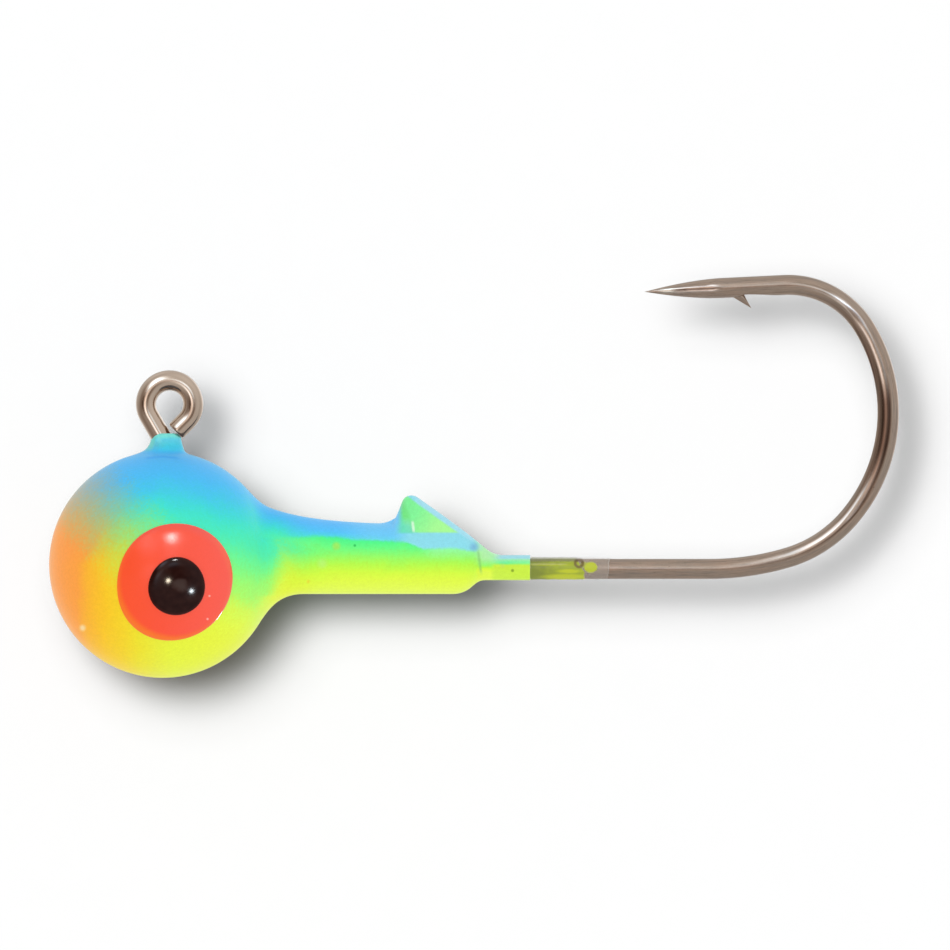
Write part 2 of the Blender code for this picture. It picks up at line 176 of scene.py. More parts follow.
KEEPER_FRONT = (10.61, 2.42, 69.0)
KEEPER_RAMP = (13.05, 1.91, -35.3)
KEEPER_TAIL = (14.30, 0.99, -42.0)
RAMP_BLEND = 0.25
KEEPER_TOP_R, KEEPER_EDGE_R, KEEPER_NOSE = 0.62, 0.24, 0.85
KEEPER_HALF_WIDTH, KEEPER_WIDTH_Z, KEEPER_TAPER = 0.98, 1.44, 0.08  # narrower as it rises
KEEPER_NARROWING, KEEPER_NARROW_X = 0.36, (13.1, 14.8)
KEEPER_FLOOR_Z, KEEPER_FLOOR_R = -0.30, 0.25
KEEPER_BLEND, KEEPER_BLEND_END, KEEPER_BLEND_X = 0.75, 0.16, (10.7, 11.5)

SLEEVE_R, SLEEVE_Z, SLEEVE_END_X, SLEEVE_BLEND = 0.565, -0.14, 16.54, 0.30

BOSS_FROM_Z, BOSS_BOTTOM_Z, BOSS_TOP_Z = 3.5, 4.93, 5.90
BOSS_X, BOSS_LEAN, BOSS_LEAN_Z, BOSS_LEAN_HEIGHT = 0.175, 0.185, 4.985, 0.22
BOSS_R, BOSS_SWELL, BOSS_SWELL_Z, BOSS_SWELL_HEIGHT = 0.62, 0.42, 5.0, 0.33
BOSS_STEEPNESS = 0.85  # scales its distance, which the swelling foot makes too steep
BOSS_EDGE_R, BOSS_BLEND = 0.13, 0.16

FAR_OFF = 9.0  # a field value that leaves a shape out
PAINT_THICKNESS = 0.11


def smooth_union(one, other, blend):
    near = np.maximum(blend - np.abs(one - other), 0.0)
    return np.minimum(one, other) - near * near / (4 * blend)


def rounded_corner(one, other, radius):
    """Where both shapes overlap, with their shared edge rounded."""
    inside = np.minimum(np.maximum(one + radius, other + radius), 0.0)
    return inside + np.hypot(np.maximum(one + radius, 0.0), np.maximum(other + radius, 0.0)) - radius


def slope_field(x, z, plane):
    plane_x, plane_z, degrees = plane
    slope = math.radians(degrees)
    return (x - plane_x) * -math.sin(slope) + (z - plane_z) * math.cos(slope)


def collar_field(x, y, z, ramp):
    reach = np.maximum(x, FLARE_FROM_X)
    top = COLLAR_TOP + FLARE * np.exp(-(reach - FLARE_X) / FLARE_LENGTH)
    middle, radius = (top + COLLAR_BOTTOM) / 2, (top - COLLAR_BOTTOM) / 2
    collar = np.hypot(y, z - middle) - radius
    collar = rounded_corner(collar, x - COLLAR_END_X, COLLAR_END_R)
    return rounded_corner(collar, ramp, COLLAR_RAMP_R)


def keeper_field(x, y, z, ramp):
    """Wedge on top of the collar: a steep rounded front and a long ramp behind."""
    front = slope_field(x, z, KEEPER_FRONT)
    side_view = rounded_corner(front, ramp, KEEPER_TOP_R)
    nose = np.clip(-front / KEEPER_NOSE, 0.0, 1.0)
    width = KEEPER_HALF_WIDTH - KEEPER_TAPER * (z - KEEPER_WIDTH_Z)
    width = width * np.sqrt(np.clip(1 - (1 - nose) ** 2, 0.0, 1.0))
    width = width - KEEPER_NARROWING * smoothstep(x, *KEEPER_NARROW_X)
    keeper = rounded_corner(side_view, np.abs(y) - width, KEEPER_EDGE_R)
    return rounded_corner(keeper, KEEPER_FLOOR_Z - z, KEEPER_FLOOR_R)


def boss_field(x, y, z):
    """Boss round the line tie's leg: it leans a little to +X and swells towards its foot."""
    height = np.maximum(z, BOSS_BOTTOM_Z)
    centre = BOSS_X - BOSS_LEAN * np.exp(-(height - BOSS_LEAN_Z) / BOSS_LEAN_HEIGHT)
    radius = BOSS_R + BOSS_SWELL * np.exp(-(height - BOSS_SWELL_Z) / BOSS_SWELL_HEIGHT)
    boss = (np.hypot(x - centre, y) - radius) * BOSS_STEEPNESS
    return rounded_corner(boss, z - BOSS_TOP_Z, BOSS_EDGE_R)


def head_field(points):
    x, y, z = points[:, 0], points[:, 1], points[:, 2]
    ball = np.sqrt(x * x + y * y + z * z) - BALL_R
    ramp, tail_slope = slope_field(x, z, KEEPER_RAMP), slope_field(x, z, KEEPER_TAIL)
    ramp = -smooth_union(-ramp, -tail_slope, RAMP_BLEND)
    fading = (KEEPER_BLEND - KEEPER_BLEND_END) * smoothstep(x, *KEEPER_BLEND_X)
    collar, keeper = collar_field(x, y, z, ramp), keeper_field(x, y, z, ramp)
    tail = smooth_union(collar, keeper, KEEPER_BLEND - fading)
    sleeve = np.hypot(y, z - SLEEVE_Z) - SLEEVE_R
    tail = smooth_union(tail, sleeve, SLEEVE_BLEND)
    lowness = np.clip((BLEND_TOP_Z - z) / BLEND_DROP, 0.0, 1.0)
    blend = BLEND_TOP + (BLEND_BOTTOM - BLEND_TOP) * lowness
    skin = smooth_union(ball, np.where(x > COLLAR_FROM_X, tail, FAR_OFF), blend)
    boss = np.where(z > BOSS_FROM_Z, boss_field(x, y, z), FAR_OFF)
    return smooth_union(skin, boss, BOSS_BLEND)


SETTLE_STEPS, SETTLE_STRIDE = 6, 0.15
SETTLE_PROBE = 1e-4  # half the span the field's gradient is measured over
SETTLE_LEAST_GRADIENT = 0.05  # squared; keeps a step finite where the field is flat


def settle(points, inset):
    """Moves points onto the field's surface, inset millimetres inside it."""
    for _ in range(SETTLE_STEPS):
        depth = head_field(points) + inset
        slopes = []
        for i in range(3):
            probe = np.eye(3)[i] * SETTLE_PROBE
            rise = head_field(points + probe) - head_field(points - probe)
            slopes.append(rise / (2 * SETTLE_PROBE))
        gradient = np.stack(slopes, axis=1)
        steepness = np.maximum((gradient * gradient).sum(1), SETTLE_LEAST_GRADIENT)
        move = -(depth / steepness)[:, None] * gradient
        size = np.maximum(np.linalg.norm(move, axis=1, keepdims=True), 1e-9)
        points = points + move * np.minimum(1.0, SETTLE_STRIDE / size)
    return points


ROUGH_SIDES = 72
ROUGH_SEARCH_R, ROUGH_HALVINGS = 7.0, 26
ROUGH_BALL_DEGS, ROUGH_BALL_ROWS = (5, 140), 46  # degrees from the ball's foremost point
ROUGH_TAIL_FROM_X, ROUGH_TAIL_ROWS = 4.0, 150
AXIS_DROP_X = (2.0, 10.0)  # the rings' middle falls to the sleeve's over this length


def rough_head(inset, end_x):
    """A coarse closed skin of the head and its sleeve, which the remesh starts from."""
    ball_degs = np.linspace(*ROUGH_BALL_DEGS, ROUGH_BALL_ROWS)
    ball_xs = -BALL_R * np.cos(np.radians(ball_degs))
    xs = np.concatenate([ball_xs, np.linspace(ROUGH_TAIL_FROM_X, end_x, ROUGH_TAIL_ROWS)])
    turn = np.linspace(0, 2 * math.pi, ROUGH_SIDES, endpoint=False)
    cos, sin = np.cos(turn), np.sin(turn)
    rings = []
    for x in xs:
        axis_z = SLEEVE_Z * float(smoothstep(x, *AXIS_DROP_X))

        def ring(radius):
            return np.stack([np.full(ROUGH_SIDES, x), radius * cos, axis_z + radius * sin], axis=1)

        low, high = np.zeros(ROUGH_SIDES), np.full(ROUGH_SIDES, ROUGH_SEARCH_R)
        for _ in range(ROUGH_HALVINGS):
            middle = (low + high) / 2
            inside = head_field(ring(middle)) + inset < 0
            low, high = np.where(inside, middle, low), np.where(inside, high, middle)
        rings.append(ring(low))
    return loft(rings, start=(-(BALL_R - inset) + 0.001, 0, 0))


FAR_CAP_LENGTH = 0.25


def fine_skin(name, inset, voxel, end_x):
    obj = new_object(name, *rough_head(inset, end_x))
    remesh = obj.modifiers.new("remesh", "REMESH")
    remesh.mode = "VOXEL"
    remesh.voxel_size = voxel
    remesh.use_smooth_shade = True
    apply_modifiers(obj)
    points = read_points(obj.data)
    cap = points[:, 0] > end_x - FAR_CAP_LENGTH  # the flat end has no surface to settle on
    moved = settle(points, inset)
    moved[cap] = points[cap]
    write_points(obj.data, moved)
    return obj


# ================================================================== the hook's wire

WIRE_R, WIRE_GAP, SHANK_Z = 0.455, 0.012, -0.20
WIRE_SIDES = 56
STEP = 0.10  # between stations along the wire
RING_X, RING_Z, RING_R = 0.320, 7.222, 1.064
RING_TIP_DEG, RING_TIP_LENGTH, RING_LEG_DEG = -45.0, 0.675, 210.0
LEG_X, LEG_BEND_R, LEG_BEND_DEG, HEEL_R = 0.315, 1.2, 30, 0.95
BEND_START_X = 24.587
# radius, degrees of the arcs that make up the bend
BEND_ARCS = ((12.575, 16.24), (5.773, 33.95), (7.361, 70.81), (3.983, 61.80))
ARM_LENGTH, SPEAR_LENGTH, SPEAR_POWER = 6.288, 3.50, 1.7
FORGED_MIDDLE_DEG, FORGED_REACH_DEG = 92.0, 58.0  # heading turned since the bend's start
FORGED_HALF_WIDTH, FORGED_HALF_THICK = 0.513, 0.395
FORGED_FULL_FLAT, FORGED_CORNER, FORGED_CROWN = 0.6, 0.05, 0.10
# distance from the point, depth pared off the wire's inner side
PARED = ((4.30, 0.0), (4.44, 0.105), (4.66, 0.105), (5.10, 0.08), (5.55, 0.04), (5.95, 0.0))
FACET_FROM, FACET_FULL = 0.03, 0.20  # shares of the spear over which its facets come in
FACET_SQUARING, FACET_CROWN, FACET_TRIM = 0.62, 0.10, 0.085
POINT_LEAST = 0.004  # keeps the last ring open
# the loose end, cut square with a worn edge: distance from the end, size
WORN_END = ((0.0, 0.86), (0.012, 0.94), (0.035, 0.985))
AWAY = 99.0  # stands for the distance from the point everywhere before the arm

Station = namedtuple("Station", "x z heading forged from_point")


def wire_path():
    """Stations every STEP along the wire's middle, from the ring's loose end to the point."""
    start = math.radians(RING_TIP_DEG)
    heading = start + math.pi / 2
    x = RING_X + RING_R * math.cos(start) - RING_TIP_LENGTH * math.cos(heading)
    z = RING_Z + RING_R * math.sin(start) - RING_TIP_LENGTH * math.sin(heading)
    stations = [Station(x, z, heading, 0.0, AWAY)]

    def line(length, to_point=False):
        nonlocal x, z
        from_x, from_z = x, z
        count = max(1, round(length / STEP))
        for i in range(1, count + 1):
            gone = length * i / count
            x = from_x + gone * math.cos(heading)
            z = from_z + gone * math.sin(heading)
            stations.append(Station(x, z, heading, 0.0, length - gone if to_point else AWAY))

    def arc(radius, turn, forging=None):
        nonlocal x, z, heading
        reach = radius if turn > 0 else -radius
        middle_x, middle_z = x - reach * math.sin(heading), z + reach * math.cos(heading)
        count = max(2, round(abs(turn) * radius / STEP))
        for i in range(1, count + 1):
            now = heading + turn * i / count
            x = middle_x + reach * math.sin(now)
            z = middle_z - reach * math.cos(now)
            stations.append(Station(x, z, now, forging(now) if forging else 0.0, AWAY))
        heading = heading + turn

    line(RING_TIP_LENGTH)
    arc(RING_R, math.radians(RING_LEG_DEG - RING_TIP_DEG))
    tangent = LEG_BEND_R * math.tan(math.radians(LEG_BEND_DEG / 2))
    line((LEG_X - x) / math.cos(heading) - tangent)
    arc(LEG_BEND_R, math.radians(-LEG_BEND_DEG))
    line(z - (SHANK_Z + HEEL_R))
    arc(HEEL_R, math.radians(90))
    z = SHANK_Z
    line(BEND_START_X - x)
    bend_start = heading

    def forging(now):
        off = (math.degrees(now - bend_start) - FORGED_MIDDLE_DEG) / FORGED_REACH_DEG
        return math.cos(math.pi / 2 * max(-1.0, min(1.0, off))) ** 2

    for radius, degrees in BEND_ARCS:
        arc(radius, math.radians(degrees), forging)
    line(ARM_LENGTH, to_point=True)
    return stations


def section(forged, grow):
    """The wire's outline: round, or with two forged flats whose corners are rounded."""
    turn = 2 * math.pi * np.arange(WIRE_SIDES) / WIRE_SIDES
    flats = min(1.0, forged / FORGED_FULL_FLAT)
    flats = flats * flats * (3 - 2 * flats)
    across = (WIRE_R + (FORGED_HALF_WIDTH - WIRE_R) * forged) * np.cos(turn)
    side = WIRE_R * np.sin(turn)
    half = WIRE_R + (FORGED_HALF_THICK - WIRE_R) * flats
    corner = FORGED_CORNER * flats + 1e-6
    side = np.sign(side) * smooth_union(np.abs(side), half, corner)
    # the pressed sides stay slightly convex
    crown = 1 + FORGED_CROWN * (1 - np.abs(np.sin(turn))) * flats
    side = side * (1 - flats) + FORGED_HALF_THICK * np.sin(turn) * crown * flats
    scale = (WIRE_R + grow) / WIRE_R
    return across * scale, side * scale


def grind_facets(across, side, square):
    """The round gives way to a rounded lozenge with a flattened ridge down each side."""
    radius = np.hypot(across, side)
    cos, sin = np.abs(across) / radius, np.abs(side) / radius
    power = 2.0 - FACET_SQUARING * square
    fit = 1 / (cos**power + sin**power) ** (1 / power)
    fit = fit * (1 + FACET_CROWN * square * (1 - np.abs(cos - sin)))
    across, side = across * fit, side * fit
    top = np.abs(side).max() * (1 - FACET_TRIM * square)
    return across, np.clip(side, -top, top)


def wire_rings(stations, grow=0.0):
    """A ring round each station; a grown wire also starts that much earlier."""
    rings = []
    for i, (x, z, heading, forged, from_point) in enumerate(stations):
        across, side = section(forged, grow)
        size, pared, square = 1.0, 0.0, 0.0
        if from_point < AWAY:
            share = min(1.0, max(from_point, POINT_LEAST) / SPEAR_LENGTH)
            size = 1 - (1 - share) ** SPEAR_POWER if share < 1 else 1.0
            pared = float(np.interp(from_point, *zip(*PARED)))
            square = float(smoothstep(1 - share, FACET_FROM, FACET_FULL))
        if square > 0:
            across, side = grind_facets(across, side, square)
        across, side = across * size, side * size
        # the inner side never stands out beyond the round wire
        across = np.minimum(across, WIRE_R + grow - pared)
        shift = grow if i == 0 else 0.0
        middle_x, middle_z = x - shift * math.cos(heading), z - shift * math.sin(heading)
        ring_x = middle_x + across * -math.sin(heading)
        rings.append(np.stack([ring_x, side, middle_z + across * math.cos(heading)], axis=1))
    return rings


# the barb's corners: distance from the point, depth towards the bend's inside
BARB_FRONT, BARB_BACK, BARB_TIP = (3.97, 0.36), (4.45, 0.30), (4.77, 0.975)
BARB_HALF_THICK, BARB_TIP_THICK, BARB_TAPER = 0.26, 0.012, 0.8
BARB_ROWS, BARB_SIDES = 15, 20
BARB_FRONT_RAISE, BARB_ROOT_LEAD, BARB_ROOT_DEPTH = 0.09, 0.25, 0.05
BARB_TIP_SHORT, BARB_TIP_THIN = 0.012, 0.03
BARB_OUTER_THINNING = 0.8  # the half away from the arm is thinner


def barb_body(point):
    back_x, back_z = math.cos(point.heading + math.pi), math.sin(point.heading + math.pi)
    in_x, in_z = -math.sin(point.heading), math.cos(point.heading)

    def at(along, depth, y):
        return (point.x + back_x * along + in_x * depth, y, point.z + back_z * along + in_z * depth)

    (front, front_deep), (back, back_deep), (tip, tip_deep) = BARB_FRONT, BARB_BACK, BARB_TIP
    rings = []
    for share in np.linspace(0.0, 1.0, BARB_ROWS):
        # the outer line runs straight to the tip; the inner one follows the arm, then the notch
        outer = front + (tip - front) * share
        outer_deep = (front_deep + BARB_FRONT_RAISE) + (
            tip_deep - front_deep - BARB_FRONT_RAISE
        ) * share
        if share < 0.5:
            part = share / 0.5
            inner = front - BARB_ROOT_LEAD + (back + BARB_ROOT_LEAD - front) * part
            inner_deep = BARB_ROOT_DEPTH + (back_deep - BARB_ROOT_DEPTH) * part**3
        else:
            part = (share - 0.5) / 0.5
            inner = back + (tip - BARB_TIP_SHORT - back) * part
            inner_deep = back_deep + (tip_deep - BARB_TIP_THIN - back_deep) * part
        half = BARB_HALF_THICK * (1 - share) ** BARB_TAPER + BARB_TIP_THICK
        ring = []
        for k in range(BARB_SIDES):
            turn = 2 * math.pi * k / BARB_SIDES
            y = half * math.sin(turn) * (1.0 if math.cos(turn) < 0 else BARB_OUTER_THINNING)
            mix = 0.5 + 0.5 * math.cos(turn)
            depth = inner_deep + (outer_deep - inner_deep) * mix
            ring.append(at(inner + (outer - inner) * mix, depth, y))
        rings.append(ring)
    return loft(rings)


# ================================================================== node tools


def mix_node(tree, share, first, second):
    """A colour mix; each colour is a socket or an (r, g, b)."""
    node = tree.nodes.new("ShaderNodeMix")
    node.data_type = "RGBA"
    tree.links.new(share, node.inputs[0])
    for slot, colour in ((6, first), (7, second)):
        if isinstance(colour, tuple):
            node.inputs[slot].default_value = (*colour, 1.0)
        else:
            tree.links.new(colour, node.inputs[slot])
    return node.outputs[2]


def scale_node(tree, vector, factor):
    node = tree.nodes.new("ShaderNodeVectorMath")
    node.operation = "SCALE"
    tree.links.new(vector, node.inputs[0])
    if isinstance(factor, Value):
        tree.links.new(factor.socket, node.inputs["Scale"])
    else:
        node.inputs["Scale"].default_value = factor
    return node.outputs[0]


def display(colour):
    """An (r, g, b) out of 255 as shares of one."""
    return tuple(part / 255 for part in colour)


class Value:
    """A number in a node tree, with arithmetic that adds Math nodes."""

    def __init__(self, tree, socket):
        self.tree, self.socket = tree, socket

    def _math(self, operation, *others, clamp=False):
        node = self.tree.nodes.new("ShaderNodeMath")
        node.operation = operation
        node.use_clamp = clamp
        for i, item in enumerate((self,) + others):
            if isinstance(item, Value):
                self.tree.links.new(item.socket, node.inputs[i])
            else:
                node.inputs[i].default_value = float(item)
        return Value(self.tree, node.outputs[0])

    def __add__(self, other):
        return self._math("ADD", other)

    __radd__ = __add__

    def __sub__(self, other):
        return self._math("SUBTRACT", other)

    def __rsub__(self, number):
        node = self.tree.nodes.new("ShaderNodeValue")
        node.outputs[0].default_value = float(number)
        return Value(self.tree, node.outputs[0]) - self

    def __mul__(self, other):
        return self._math("MULTIPLY", other)

    __rmul__ = __mul__

    def __truediv__(self, other):
        return self._math("DIVIDE", other)

    def __neg__(self):
        return self * -1.0

    def abs(self):
        return self._math("ABSOLUTE")

    def sqrt(self):
        return self._math("SQRT")

    def pow(self, power):
        return self._math("POWER", power)

    def exp(self):
        return self._math("EXPONENT")

    def max(self, other):
        return self._math("MAXIMUM", other)

    def min(self, other):
        return self._math("MINIMUM", other)

    def clamp(self):
        return self._math("MULTIPLY", 1.0, clamp=True)

    def _smooth(self, low, high, at_low, at_high):
        node = self.tree.nodes.new("ShaderNodeMapRange")
        node.interpolation_type = "SMOOTHSTEP"
        node.inputs["From Min"].default_value = low
        node.inputs["From Max"].default_value = high
        node.inputs["To Min"].default_value = at_low
        node.inputs["To Max"].default_value = at_high
        self.tree.links.new(self.socket, node.inputs["Value"])
        return Value(self.tree, node.outputs["Result"])

    def rise(self, low, high):
        """0 below low, 1 above high, smooth between."""
        return self._smooth(low, high, 0.0, 1.0)

    def fall(self, low, high):
        """1 below low, 0 above high, smooth between."""
        return self._smooth(low, high, 1.0, 0.0)


def ellipse(x, z, at_x, at_z, radius_x, radius_z):
    """0 at the middle of an ellipse in the side view, 1 on its edge, growing as the square."""
    return ((x - at_x) / radius_x).pow(2.0) + ((z - at_z) / radius_z).pow(2.0)


def distance(x, z, at_x, at_z):
    return ((x - at_x).pow(2.0) + (z - at_z).pow(2.0)).sqrt()


class Colour:
    """A colour in a node tree, in display values so that layers fade as the eye sees them."""

    def __init__(self, tree, socket):
        self.tree, self.socket = tree, socket

    def mix(self, other, share):
        """Laid over with a Colour or an (r, g, b) out of 255; share 1 covers fully."""
        other = other.socket if isinstance(other, Colour) else display(other)
        return Colour(self.tree, mix_node(self.tree, share.socket, self.socket, other))

    def scale(self, factor):
        return Colour(self.tree, scale_node(self.tree, self.socket, factor))


class Finish:
    """A material with a Principled shader, and the coordinates its patterns are drawn in."""

    def __init__(self, name, roughness, metallic=0.0):
        self.material = bpy.data.materials.new(name)
        self.material.use_nodes = True
        self.tree = self.material.node_tree
        self.shader = self.tree.nodes["Principled BSDF"]
        self.shader.inputs["Roughness"].default_value = roughness
        self.shader.inputs["Metallic"].default_value = metallic

    def new(self, kind):
        return self.tree.nodes.new(kind)

    def place(self):
        """Position in millimetres about the ball's centre."""
        geometry = self.new("ShaderNodeNewGeometry")
        move = self.new("ShaderNodeVectorMath")
        move.operation = "SUBTRACT"
        self.tree.links.new(geometry.outputs["Position"], move.inputs[0])
        move.inputs[1].default_value = CENTRE
        return scale_node(self.tree, move.outputs[0], 1 / MM)

    def normal(self):
        return self.new("ShaderNodeNewGeometry").outputs["Normal"]

    def parts(self, vector):
        node = self.new("ShaderNodeSeparateXYZ")
        self.tree.links.new(vector, node.inputs[0])
        return [Value(self.tree, node.outputs[i]) for i in range(3)]

    def attribute(self, name):
        node = self.new("ShaderNodeAttribute")
        node.attribute_name = name
        return node.outputs["Vector"]

    def noise(self, vector, scale, detail, stretch=(1, 1, 1), rough=0.5, offset=0.0):
        if stretch != (1, 1, 1) or offset:
            node = self.new("ShaderNodeMapping")
            node.inputs["Scale"].default_value = stretch
            node.inputs["Location"].default_value = (offset, offset * 0.7, -offset)
            self.tree.links.new(vector, node.inputs["Vector"])
            vector = node.outputs[0]
        node = self.new("ShaderNodeTexNoise")
        node.inputs["Scale"].default_value = scale
        node.inputs["Detail"].default_value = detail
        node.inputs["Roughness"].default_value = rough
        self.tree.links.new(vector, node.inputs["Vector"])
        return Value(self.tree, node.outputs["Fac"])

    def sway(self, vector, **settings):
        """Noise about zero."""
        return self.noise(vector, **settings) - 0.5

    def ramp(self, value, stops, high=None):
        """A colour from stops of (place, (r, g, b)); high is the ramp's end if past the last."""
        low = stops[0][0]
        high = stops[-1][0] if high is None else high
        node = self.new("ShaderNodeValToRGB")
        line = node.color_ramp
        line.interpolation = "LINEAR"
        while len(line.elements) > 1:
            line.elements.remove(line.elements[-1])
        for i, (place, colour) in enumerate(stops):
            at = (place - low) / (high - low)
            element = line.elements[0] if i == 0 else line.elements.new(at)
            element.position = at
            element.color = (*display(colour), 1.0)
        share = (value - low) / (high - low)
        self.tree.links.new(share.socket, node.inputs["Fac"])
        return Colour(self.tree, node.outputs["Color"])

    def plain(self, colour):
        node = self.new("ShaderNodeRGB")
        node.outputs[0].default_value = (*display(colour), 1.0)
        return Colour(self.tree, node.outputs[0])

    def base(self, colour):
        node = self.new("ShaderNodeGamma")
        node.inputs["Gamma"].default_value = 2.2
        self.tree.links.new(colour.socket, node.inputs["Color"])
        self.tree.links.new(node.outputs[0], self.shader.inputs["Base Color"])

    def bump(self, height, distance_mm, strength):
        node = self.new("ShaderNodeBump")
        node.inputs["Strength"].default_value = strength
        node.inputs["Distance"].default_value = distance_mm * MM
        self.tree.links.new(height.socket, node.inputs["Height"])
        self.tree.links.new(node.outputs[0], self.shader.inputs["Normal"])

    def feed(self, value, name):
        self.tree.links.new(value.socket, self.shader.inputs[name])

    def specular(self, level):
        self.shader.inputs["Specular IOR Level"].default_value = level


def spot(x, z, at_x, at_z, radius, soft):
    """1 in a small disc of the side view, fading over the soft share of its radius."""
    return distance(x, z, at_x, at_z).fall(radius * (1 - soft), radius)


# ================================================================== spray paint
# Ramps hold a place on the scale each is read at, and the colour there.

BALL_BODY = (  # by how far up the surface faces
    (-0.70, (233, 246, 66)),
    (-0.60, (234, 248, 65)),
    (-0.40, (225, 254, 80)),
    (-0.25, (208, 253, 92)),
    (-0.12, (170, 253, 108)),
    (0.00, (155, 253, 116)),
    (0.10, (130, 252, 134)),
    (0.20, (109, 249, 152)),
    (0.30, (89, 242, 173)),
    (0.40, (76, 237, 188)),
    (0.50, (68, 228, 205)),
    (0.60, (67, 215, 222)),
    (0.70, (70, 200, 236)),
    (0.80, (73, 188, 245)),
    (0.95, (78, 180, 246)),
)
BALL_BODY_END = 1.0
BALL_NOSE = (  # by how far forward, towards -X, it faces
    (-0.20, (232, 246, 62)),
    (-0.10, (232, 246, 62)),
    (0.05, (234, 237, 59)),
    (0.20, (240, 227, 47)),
    (0.35, (247, 212, 42)),
    (0.50, (251, 199, 40)),
    (0.65, (252, 181, 50)),
    (0.75, (253, 160, 66)),
    (0.90, (253, 156, 72)),
)
COLLAR_LOWER = (  # by how far up it faces
    (-0.90, (229, 253, 87)),
    (-0.60, (226, 253, 74)),
    (-0.38, (213, 254, 70)),
    (-0.15, (184, 253, 78)),
    (0.07, (150, 253, 104)),
    (0.30, (109, 253, 132)),
    (0.52, (78, 248, 143)),
    (0.80, (74, 240, 168)),
)
COLLAR_UPPER = (  # by millimetres above the line where the blue ends
    (0.00, (84, 222, 214)),
    (0.10, (82, 210, 236)),
    (0.25, (86, 196, 252)),
    (0.60, (92, 186, 252)),
)
RAMP_FALL = 0.708  # drop of the keeper's ramp per millimetre along X
# small marks on the side towards the camera, specks and smears with one painted highlight and one
# painted shadow: x, z, radius, softness, strength, colour
PAINT_SPECKS_AND_PAINTED_LIGHT = (
    # painted highlight on the boss
    (-0.15, 5.62, 0.20, 0.9, 0.5, (150, 236, 232)),
    (-3.56, -2.84, 0.22, 0.8, 0.7, (250, 232, 190)),
    (7.83, 0.83, 0.26, 0.7, 0.85, (166, 236, 96)),
    (8.66, 0.86, 0.085, 0.7, 0.8, (48, 186, 84)),
    (6.57, -0.76, 0.12, 0.9, 0.8, (236, 224, 60)),
    (7.2, 0.05, 0.34, 0.9, 0.45, (196, 250, 150)),
    (15.75, -0.27, 0.10, 0.7, 0.7, (110, 140, 40)),
    (15.30, -0.05, 0.16, 0.9, 0.5, (190, 226, 110)),
    # painted shadow beside the keeper's tail
    (14.02, 0.79, 0.30, 0.9, 0.75, (116, 178, 218)),
)


def ball_colour(paint, facing, lag, mist, speck, fine):
    """Blue above, yellow below and green between, with an orange nose."""
    right, up = facing
    height = up + 0.20 * right.abs() + 0.10 * mist + 0.16 * speck + 0.06 * fine + lag
    body = paint.ramp(height, BALL_BODY, high=BALL_BODY_END)
    forward = -right + 0.75 * up.max(0.0) + 0.08 * mist
    nose = paint.ramp(forward, BALL_NOSE)
    back_or_up = up + right + 0.20 * mist + 0.55 * speck + 0.30 * fine
    return body.mix(nose, ((0.50 - back_or_up) / 1.15).clamp())


def collar_colour(paint, x, z, up, lag, mist, speck, fine):
    """Yellow-green below a sharp line and blue above it."""
    height = up + 0.10 * mist + 0.16 * speck + 0.05 * fine + lag
    lower = paint.ramp(height, COLLAR_LOWER)
    # the blue's edge falls a little from the ball to the keeper, then drops beside it
    wander = 0.14 * mist + 0.16 * speck
    slow_fall = 0.065 * (x - 7.0).max(0.0).min(4.0)
    edge_z = 1.26 - slow_fall - 0.27 * x.rise(10.9, 11.8) - 0.08 * x.rise(13.2, 13.9)
    above = z + wander - edge_z
    upper = paint.ramp(above, COLLAR_UPPER)
    # the blue pales along the collar, and more beside the keeper
    upper = upper.mix((140, 214, 250), x.rise(7.6, 9.6) * 0.45)
    upper = upper.mix((148, 226, 236), x.rise(10.2, 11.3) * 0.85)
    # pale green under the keeper
    pale = x.rise(11.4, 12.4) * (z + wander).rise(0.1, 0.7)
    lower = lower.mix((196, 250, 196), pale * 0.40)
    return lower.mix(upper, above.rise(-0.09, 0.08))


def add_keeper(colour, paint, x, z, mist, fine):
    """Green sides with a front darkened by painted shade, under a blue-white ramp."""
    ramp_x, ramp_z, _ = KEEPER_RAMP
    above_ramp = z - (ramp_z - RAMP_FALL * (x - ramp_x)) + 0.10 * fine
    on_side = (z + 0.05 * fine).rise(1.38, 1.50) * x.rise(10.55, 10.85)
    on_side = on_side * above_ramp.fall(-0.34, -0.20)
    yellowing = (0.7 * (x - 11.2) - 0.5 * (z - 2.0) + 0.6 * mist).clamp()
    side = paint.plain((132, 246, 152)).mix((170, 253, 150), yellowing)
    # painted shade: the front, which turns away, is drawn darker, with a bluer teal low down
    front = (x + 0.35 * (z - 2.0) + 0.1 * mist).fall(11.02, 11.30)
    side = side.mix((122, 236, 134), front)
    side = side.mix((130, 232, 176), front * z.fall(1.8, 2.2))
    # bluer foremost edge, darkened further as painted shade
    side = side.mix((104, 228, 176), (x + 0.30 * (z - 2.0)).fall(10.72, 10.95) * 0.7)
    colour = colour.mix(side, on_side)
    # blue-green band low on the front
    front_foot = x.rise(10.4, 10.75) * (x + 0.5 * (z - 2.0)).fall(10.9, 11.1)
    front_foot = front_foot * (z.rise(1.35, 1.45) * z.fall(1.7, 1.9))
    colour = colour.mix((106, 222, 196), front_foot * 0.5)
    # pale strip along the ramp
    strip = above_ramp.rise(-0.38, -0.18) * x.rise(11.1, 11.6)
    colour = colour.mix((164, 224, 240), strip * z.rise(0.9, 1.2))
    # painted highlight: a near-white upright line where the front meets the side
    keeper_edge_highlight = ((x - 11.27) + 0.12 * (z - 1.8)).abs().fall(0.02, 0.10)
    keeper_edge_highlight = keeper_edge_highlight * z.rise(1.40, 1.55) * z.fall(1.86, 2.02)
    return colour.mix((240, 255, 236), keeper_edge_highlight * 0.75)


